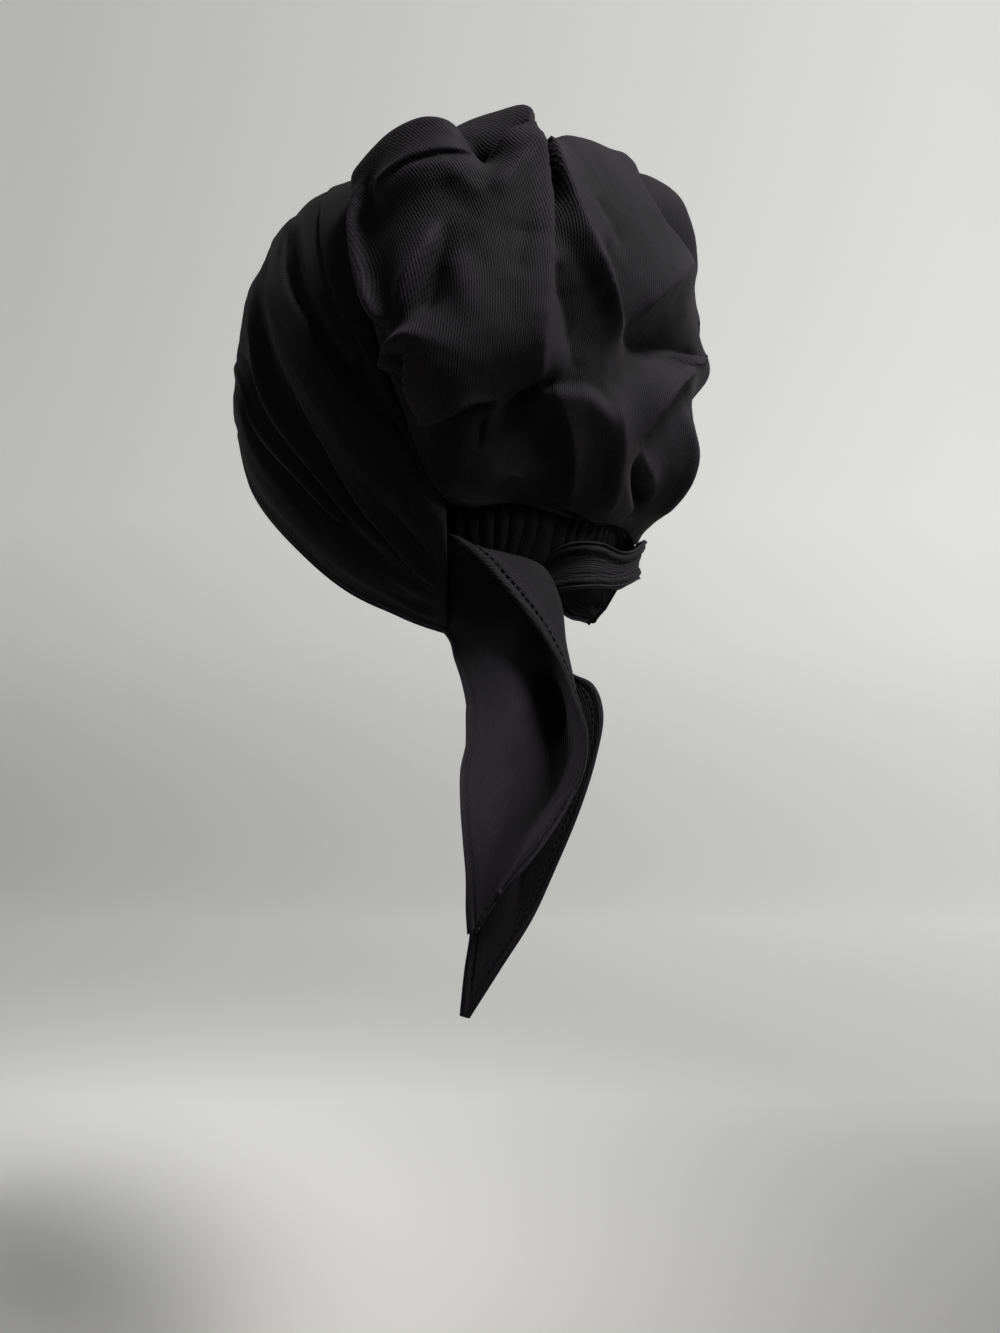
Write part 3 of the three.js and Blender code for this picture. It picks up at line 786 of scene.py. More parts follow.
def bare_material(name: str) -> bpy.types.Material:
    """Makes a material that has no nodes yet.

    Args:
        name: its name.

    Returns:
        The material.
    """
    made = bpy.data.materials.new(name)
    made.use_nodes = True
    made.node_tree.nodes.clear()
    return made


@dataclass(frozen=True)
class RibbedTwill:
    """Black polyester knit with a fine broken twill rib: matte, with a soft sheen where it turns away.

    rib is the pitch of its ribs and float_length how far a thread runs over them, in millimetres. Real
    ribs are about 0.8 mm apart, drawn a little coarser so that they show. Each rib's floats start by the
    share stagger further along than the last one's. Beside a rib's height of 1, a float has float_height
    and the knit's fuzz, which has so many hairs to a metre, fuzz_height. The cloth's tone goes from dark to
    light by patches of uneven dye, by how far it stands out, lighter on ridges where it is rubbed and darker
    in creases as painted shade, and by its weave, darker between ribs and floats as painted shade and
    uneven by its fuzz.
    """

    name: str
    dark: str = "0c0a0c"
    light: str = "1b171c"
    rib: float = 0.95
    float_length: float = 2.4
    stagger: float = 0.38
    float_height: float = 0.45
    fuzz_height: float = 0.8
    hairs: float = 900.0
    relief: float = 0.09
    bump: float = 0.7
    patches: float = 28.0
    patch_tone: float = 0.6
    # How far the weave darkens the tone between its ribs and floats: painted shade.
    weave_shade_tone: float = 0.16
    roughness: float = 0.78
    sheen: float = 0.05
    # How far standing out lightens the cloth, as rubbed ridges, and creases darken it, as painted shade.
    wear_and_crease_shade: float = 0.5

    def weave(self, tree: bpy.types.NodeTree, cut: bpy.types.Node) -> bpy.types.Node:
        """Adds the nodes for the height of the ribs, the floats over them and the fuzz.

        Args:
            tree: the material's nodes.
            cut: the node that gives places on the cut cloth.

        Returns:
            The last of the nodes.
        """
        split = add_node(tree, "ShaderNodeSeparateXYZ", {0: cut})
        place = add_node(tree, "ShaderNodeMath", {0: split.outputs[0], 1: self.rib * MM}, operation="DIVIDE")
        turn = add_node(tree, "ShaderNodeMath", {0: place, 1: 2 * math.pi}, operation="MULTIPLY")
        rib = add_node(tree, "ShaderNodeMath", {0: turn}, operation="SINE")
        row = add_node(tree, "ShaderNodeMath", {0: place}, operation="FLOOR")
        shift = add_node(tree, "ShaderNodeMath", {0: row, 1: self.stagger}, operation="MULTIPLY")
        length = {0: split.outputs[1], 1: self.float_length * MM}
        run = add_node(tree, "ShaderNodeMath", length, operation="DIVIDE")
        along = add_node(tree, "ShaderNodeMath", {0: run, 1: shift}, operation="ADD")
        turn = add_node(tree, "ShaderNodeMath", {0: along, 1: 2 * math.pi}, operation="MULTIPLY")
        thread = add_node(tree, "ShaderNodeMath", {0: turn}, operation="SINE")
        floats = add_node(tree, "ShaderNodeMath", {0: thread, 1: self.float_height}, operation="MULTIPLY")
        ribbed = add_node(tree, "ShaderNodeMath", {0: rib, 1: floats}, operation="ADD")
        hairs = add_node(tree, "ShaderNodeTexNoise", {"Vector": cut, "Scale": self.hairs, "Detail": 2.0})
        fuzz = add_node(tree, "ShaderNodeMath", {0: hairs, 1: self.fuzz_height}, operation="MULTIPLY")
        return add_node(tree, "ShaderNodeMath", {0: ribbed, 1: fuzz}, operation="ADD")

    def tone(self, tree: bpy.types.NodeTree, cut: bpy.types.Node, weave: bpy.types.Node) -> bpy.types.Node:
        """Adds the nodes for the cloth's colour.

        Args:
            tree: the material's nodes.
            cut: the node that gives places on the cut cloth.
            weave: the node that gives the weave's height.

        Returns:
            The last of the nodes, a mix of the two colours.
        """
        dye = {"Vector": cut, "Scale": self.patches, "Detail": 5.0, "Roughness": 0.6}
        patches = add_node(tree, "ShaderNodeTexNoise", dye)
        # Lighter on ridges, as rubbed cloth, and darker in creases and hollows: painted shade.
        wear_and_crease_shade = add_node(tree, "ShaderNodeAttribute", attribute_name="wear_and_crease_shade")
        wear_and_shade_tone = add_node(tree, "ShaderNodeMath", {0: wear_and_crease_shade.outputs["Fac"], 1: self.wear_and_crease_shade}, operation="MULTIPLY")
        dyed = add_node(tree, "ShaderNodeMath", {0: patches, 1: self.patch_tone}, operation="MULTIPLY")
        tone = add_node(tree, "ShaderNodeMath", {0: dyed, 1: wear_and_shade_tone}, operation="ADD")
        # Lighter on rib and float tops, darker between them as painted shade, and uneven by the fuzz.
        weave_shading = add_node(tree, "ShaderNodeMath", {0: weave, 1: self.weave_shade_tone}, operation="MULTIPLY")
        tone = add_node(tree, "ShaderNodeMath", {0: tone, 1: weave_shading}, operation="ADD")
        # the named inputs of a colour mix are its number inputs, so its colours go in by place
        colours = {"Factor": tone, 6: linear(self.dark), 7: linear(self.light)}
        return add_node(tree, "ShaderNodeMix", colours, data_type="RGBA", clamp_factor=True)

    def material(self) -> bpy.types.Material:
        """Makes the material.

        Returns:
            The material.
        """
        made = bare_material(self.name)
        tree = made.node_tree
        cut = add_node(tree, "ShaderNodeUVMap", uv_map="cut")
        weave = self.weave(tree, cut)
        height = {"Height": weave, "Strength": self.bump, "Distance": self.relief * MM}
        bump = add_node(tree, "ShaderNodeBump", height)
        surface = {
            "Base Color": self.tone(tree, cut, weave).outputs[2],
            "Normal": bump,
            "Roughness": self.roughness,
            "IOR": 1.45,
            "Specular IOR Level": 0.25,
            "Sheen Weight": self.sheen,
            "Sheen Roughness": 0.45,
            "Sheen Tint": linear("c9bfc6"),
        }
        shader = add_node(tree, "ShaderNodeBsdfPrincipled", surface)
        add_node(tree, "ShaderNodeOutputMaterial", {"Surface": shader})
        return made


@dataclass(frozen=True)
class SpunThread:
    """Black spun polyester sewing thread: a little shinier than the cloth, with a fine ply to its bump."""

    name: str
    colour: str = "060506"
    plies: float = 2500.0
    relief: float = 0.05

    def material(self) -> bpy.types.Material:
        """Makes the material.

        Returns:
            The material.
        """
        made = bare_material(self.name)
        tree = made.node_tree
        place = add_node(tree, "ShaderNodeTexCoord").outputs["Object"]
        ply = add_node(tree, "ShaderNodeTexNoise", {"Vector": place, "Scale": self.plies, "Detail": 1.0})
        height = {"Height": ply, "Strength": 0.4, "Distance": self.relief * MM}
        bump = add_node(tree, "ShaderNodeBump", height)
        surface = {"Normal": bump, "Base Color": linear(self.colour), "Roughness": 0.85, "IOR": 1.3}
        shader = add_node(tree, "ShaderNodeBsdfPrincipled", surface)
        add_node(tree, "ShaderNodeOutputMaterial", {"Surface": shader})
        return made


def dress(piece: bpy.types.Object, material: bpy.types.Material) -> None:
    """Gives a piece its material and its body.

    Args:
        piece: the piece's object.
        material: its material.
    """
    piece.data.materials.append(material)
    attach(piece, "root")


def resolution(steps: int) -> int:
    return steps


# ---- Hems and stitches ----
@dataclass(frozen=True)
class Hem:
    """A turned hem: its width, how much thicker it is than the cloth, and how far in it is stitched.

    It is thicker up to its width, where it ends within slope to each side. Its stitches pull it in by the
    share pull, its edge is rolled by the share roll, and a cord of cloth stands up just inside the edge by
    the share piping, with a groove behind it. Each of these has its place and its width in mm.
    """

    width: float
    rise: float
    stitch: float
    slope: float = 0.7
    pull: float = 0.45
    pull_width: float = 0.9
    roll: float = 0.35
    roll_width: float = 1.2
    piping: float = 1.2
    cord: tuple[float, float] = (1.4, 0.8)
    groove: tuple[float, float] = (3.0, 0.6)

    def relief(self, inset: Array) -> Array:
        """Works out the hem's height over the single cloth.

        Args:
            inset: distances from the hem's edge in millimetres.

        Returns:
            The height at each.
        """
        step = 1 - smooth_step(self.width - self.slope, self.width + self.slope, inset)
        pull = bell(inset, self.stitch, self.pull_width)
        roll = bell(inset, 0, self.roll_width)
        piping = bell(inset, *self.cord) - bell(inset, *self.groove)
        return self.rise * (step - self.pull * pull - self.roll * roll + self.piping * piping)


@dataclass(frozen=True)
class Seamline:
    """A row of stitches over cloth: the length of each, the gap to the next, and the thread's radius.

    The thread stands out of the cloth by the share proud of its radius, and each stitch is drawn longer by
    the factor dip, as its ends go down into the cloth. The first one begins at start along the line.
    """

    stitch: float = 1.9
    gap: float = 0.9
    radius: float = 0.28
    proud: float = 0.6
    dip: float = 1.1
    start: float = 0.5

    def sew(self, name: str, runs: Sequence[tuple[Array, Array]]) -> bpy.types.Object:
        """Sews rows of stitches along lines.

        Args:
            name: the piece's name.
            runs: for each row, the line's points on the cloth and the cloth's normals there.

        Returns:
            The piece, one mesh of all its stitches.
        """
        form = bmesh.new()
        for points, normals in runs:
            lengths = arc_lengths(points, 0)
            for start in np.arange(self.start, lengths[-1] - self.stitch, self.stitch + self.gap):
                both = np.array([start, start + self.stitch])
                out = unit(read_line(lengths, normals, both))
                ends = read_line(lengths, points, both) + out * self.radius * self.proud
                run = ends[1] - ends[0]
                turn = Vector(run).to_track_quat("X", "Z").to_matrix().to_4x4()
                middle = Matrix.Translation(Vector((ends[0] + ends[1]) / 2 * MM))
                half = np.linalg.norm(run) / 2 * self.dip * MM
                size = Matrix.Diagonal((half, self.radius * MM, self.radius * MM, 1.0))
                bmesh.ops.create_icosphere(form, subdivisions=1, radius=1.0, matrix=middle @ turn @ size)
        return made_object(form, name)


# ---- Front band ----
def along_both_sides(fold: Fold, drift: float = 0.02, weaken: float = 0.9) -> list[Fold]:
    """A fold of the band's left side with its twin on the right, a little lower and not quite the same.

    Args:
        fold: the fold, with its places running back from the front.
        drift: how far across the band the twin has moved at the band's end.
        weaken: the twin's height for one of the fold's.

    Returns:
        One fold where the two meet at the front, else two.
    """
    twin = tuple((-reach, across - drift * reach, rise * weaken) for reach, across, rise in fold.way[::-1])
    if fold.way[0][0] == 0:
        return [replace(fold, way=twin[:-1] + fold.way)]
    return [fold, replace(fold, name=f"far {fold.name}", way=twin, drop=fold.drop * weaken)]


# Folds of the band's left side: reach from the front at 0 to the end at 1, across from the hem at 0 to
# the seam at 1, and the height. Seen from outside, the seam is to the left of a way that runs back.
BAND_FOLDS = (
    Fold("hem crease", ((0, 0.14, 1.2), (0.3, 0.16, 1.2), (0.55, 0.17, 1.2), (0.67, 0.15, 1.4),
                        (0.80, 0.12, 1.4), (0.98, 0.11, 1)), 0.8),
    Fold("soft low ridge", ((0.72, 0.19, 1.6), (0.88, 0.21, 2), (0.94, 0.24, 1)), 1.8),
    Fold("low hollow", ((0, 0.22, -1), (0.3, 0.22, -2), (0.45, 0.21, -4), (0.62, 0.21, -4.4),
                        (0.70, 0.22, -4.2), (0.76, 0.24, -3), (0.85, 0.27, -1.8)), 0.9),
    Fold("low pleat", ((0, 0.28, 1), (0.3, 0.265, 1.4), (0.44, 0.25, 2.6), (0.56, 0.255, 3), (0.69, 0.26, 3),
                       (0.75, 0.265, 2)), 0.7, Foot.LEFT, 2.2, 1.0),
    Fold("middle hollow", ((0, 0.36, -1), (0.3, 0.34, -1.6), (0.42, 0.32, -3.6), (0.56, 0.315, -4.6),
                           (0.70, 0.29, -4), (0.79, 0.28, -2.6)), 0.9),
    Fold("middle pleat", ((0, 0.44, 1.2), (0.3, 0.50, 1.6), (0.39, 0.46, 2.2), (0.46, 0.40, 2.8),
                          (0.54, 0.36, 3), (0.60, 0.34, 3), (0.66, 0.33, 2.8), (0.73, 0.325, 2.4), (0.80,
                          0.325, 2), (0.92, 0.335, 1.5)), 0.7),
    Fold("ear hollow", ((0, 0.53, -2), (0.3, 0.56, -3), (0.40, 0.51, -4), (0.49, 0.44, -5), (0.60, 0.405, -5),
                        (0.76, 0.39, -5), (0.83, 0.365, -4), (0.90, 0.35, -3)), 0.9),
    Fold("ear tuck", ((0, 0.62, 2.2), (0.30, 0.66, 2.4), (0.37, 0.64, 2.5), (0.45, 0.58, 2.6),
                      (0.50, 0.56, 2.6), (0.57, 0.52, 2.6), (0.62, 0.48, 2.6), (0.69, 0.45, 2.6), (0.76, 0.42,
                      2.5), (0.83, 0.39, 2.5), (0.88, 0.37, 2.2), (0.94, 0.36, 2), (1, 0.35, 1.5)), 0.7,
                      Foot.RIGHT, 3.4, 1.0),
    Fold("broad pleat", ((0.45, 0.63, 3.6), (0.6, 0.57, 4.2), (0.7, 0.55, 4.4), (0.8, 0.56, 4),
                         (0.9, 0.6, 3)), 4),
    Fold("deep crease", ((0, 0.72, 0.5), (0.30, 0.73, 1.5), (0.38, 0.70, 2.2), (0.44, 0.67, 2.6),
                         (0.54, 0.68, 2.8), (0.62, 0.66, 2.8), (0.71, 0.70, 2.4), (0.79, 0.77, 1.2), (0.87,
                         0.86, 0), (0.92, 0.90, -1)), 0.7, Foot.LEFT, 5.5, 1.0),
    Fold("upper pleat", ((0, 0.79, 2), (0.3, 0.80, 2.6), (0.40, 0.80, 3), (0.5, 0.78, 3), (0.6, 0.77, 3),
                         (0.7, 0.80, 2.4)), 2.4),
    Fold("upper tuck", ((0, 0.86, 2), (0.33, 0.88, 2.4), (0.44, 0.87, 2.5), (0.51, 0.86, 2.5),
                        (0.61, 0.85, 2.5), (0.68, 0.88, 2.4), (0.75, 0.90, 2.2), (0.80, 0.91, 2), (0.85, 0.94,
                        1)), 0.7, Foot.RIGHT, 3.2, 1.0),
    Fold("seam ridge", ((0, 0.95, 0.8), (0.39, 0.95, 1), (0.47, 0.96, 1), (0.57, 0.94, 1), (0.62, 0.94, 1)),
                        0.8),
    Fold("end pinch", ((0.89, 0.51, -1.5), (0.94, 0.52, -2.5), (0.98, 0.54, -2.5)), 1),
    Fold("low end hollow", ((0.90, 0.14, -0.5), (0.96, 0.17, -1.5), (0.99, 0.22, -1.5)), 1),
    Fold("under upper pleat", ((0.40, 0.76, -2), (0.5, 0.735, -5), (0.6, 0.725, -7), (0.7, 0.76, -8),
                               (0.78, 0.82, -6), (0.85, 0.89, -3)), 0.9),
)


@dataclass
class FrontBand:
    """The wide band from the forehead over the ears to the nape, laid in long soft pleats.

    length and width are the cut cloth's size in mm, and fills the share of that oblong which the cloth
    fills, as the band is longest over the crown. map_span is the size of its folds' map in mm. The pleats
    are calmed in front, from one place along the band to the other, and fade towards its seam and its
    ends. They lean over each other less and less over the nape.
    """

    material: bpy.types.Material
    steps: tuple[int, int] = (262, 176)
    wall: float = 1.3
    length: float = 535
    width: float = 182
    fills: float = 0.66
    map_span: tuple[float, float] = (235, 165)
    hem: Hem = Hem(9.0, 0.5, 8.0)
    calm: float = 0.3
    calmed: tuple[float, float] = (0.3, 0.52)
    nape: tuple[float, float] = (0.8, 1.0)
    seam_fade: tuple[float, float] = (0.93, 1.0)
    end_fade: tuple[float, float] = (0.93, 0.995)
    crumple: tuple[Spot, ...] = ((0.35, 9, 2.4), (0.25, 3, 3))
    seed: int = 11

    def cloth(self) -> Cloth:
        """Works out the band's outer face.

        Returns:
            The face's points, with their places on the cut cloth.
        """
        folds = [side for fold in BAND_FOLDS for side in along_both_sides(fold)]
        folded = FoldMap((-1, 0), (1, 1), self.map_span, folds)
        along, across = (resolution(n) for n in self.steps)
        reach, rise = grid(1 - 2 * np.arange(along + 1) / along, np.arange(across + 1) / across)
        places = np.stack([reach, rise], axis=-1)
        from_front = np.abs(reach)
        edge = 1 - smooth_step(*self.seam_fade, rise)
        calm = self.calm + (1 - self.calm) * smooth_step(*self.calmed, from_front)
        bound = 1 - smooth_step(*self.end_fade, from_front)
        lift = folded.lift(places) * edge * calm * bound
        leaning = edge * calm * (1 - smooth_step(*self.nape, from_front))
        leant = np.clip(places + folded.lean(places) * leaning[..., None], [-1, 0], [1, 1])
        points = band_surface(leant[..., 0], leant[..., 1], lift)
        inset = arc_lengths(points, 1)
        cut = np.stack([reach * self.length / 2, inset], axis=-1)
        crumple = crumpled(reach.shape, self.seed, self.crumple) * smooth_step(0, 4, inset) * edge * bound
        return Cloth(points, cut).raised(self.hem.relief(inset) + crumple)

    def build(self) -> list[bpy.types.Object]:
        """Makes the band and hides the frame's band.

        Returns:
            The band alone.
        """
        piece = self.cloth().build("folded_front_band", self.wall)
        dress(piece, self.material)
        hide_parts("front_band")
        return [piece]


# ---- Crown bag ----
# The bag's rounded form from its middle: its half width, back, up and down, how full it is, and how far
# its axis is tipped up from straight back, in degrees.
BAG_MIDDLE = np.array([0.0, 66.0, 62.0])
BAG_HALF_WIDTH, BAG_BACK, BAG_UP, BAG_DOWN = 83.0, 58.0, 79.0, 76.0
BAG_FULLNESS = 2.4
BAG_TILT = math.radians(20.0)
BAG_AXIS = np.array([0.0, math.cos(BAG_TILT), math.sin(BAG_TILT)])
BAG_RISE = np.array([0.0, -math.sin(BAG_TILT), math.cos(BAG_TILT)])
# The share of the way to its rim at which the bag turns in, and the millimetres of its map for one unit.
BAG_TURN, BAG_SPAN = 0.88, 140.0
# How far panels run into each other, and how much a direction must face a panel to be cut by it.
FACET_BLEND, LEAST_FACING = 7.0, 0.2
# The least height of the bag over the head: on the crown, over the band, and at the rim.
REST_ON_HEAD, REST_ON_BAND, REST_AT_RIM, REST_BLEND = 3.5, 11.0, 7.1, 3.0
# The thickness of the bag's wall in the solids, and the gap that they keep to the pieces under it.
BAG_WALL, CAD_GAP = 1.6, 0.4
# How far the elastic stands off the nape, how deep its gathers are, and how far the bag's rim clears it.
ELASTIC_LIFT, ELASTIC_RUFFLE, ELASTIC_CLEARANCE = 1.8, 1.0, 0.8
# The degrees past the seam's corner between which the bag's rim comes down on the elastic.
RIM_DROP = (3, 16)

# How far round from its axis the bag's free form goes before it turns in to the seam, and how full that
# turn is.
BAG_EDGE = (
    {"clock": 0, "angle": 100, "turn": 1.6},
    {"clock": 60, "angle": 84, "turn": 1.6},
    {"clock": 120, "angle": 84, "turn": 1.6},
    {"clock": 155, "angle": 88, "turn": 0.4},
    {"clock": 180, "angle": 89, "turn": 0.2},
)

# Flat panels of the bag: where each is on the bag's map, and how deep it cuts into the round form.
BAG_PANELS = (
    {"side": 0.6, "up": -0.05, "cut": 4},
    {"side": 0.22, "up": 0.02, "cut": 5},
    {"side": -0.05, "up": 0.1, "cut": 5},
    {"side": 0.05, "up": 0.5, "cut": 11},
    {"side": 0.45, "up": 0.62, "cut": 5},
    {"side": -0.55, "up": 0.05, "cut": 5},
    {"side": 0.42, "up": -0.68, "cut": 6},
    {"side": -0.25, "up": -0.62, "cut": 6},
    {"side": -0.7, "up": -0.45, "cut": 4},
    {"side": -0.5, "up": 0.6, "cut": 6},
)

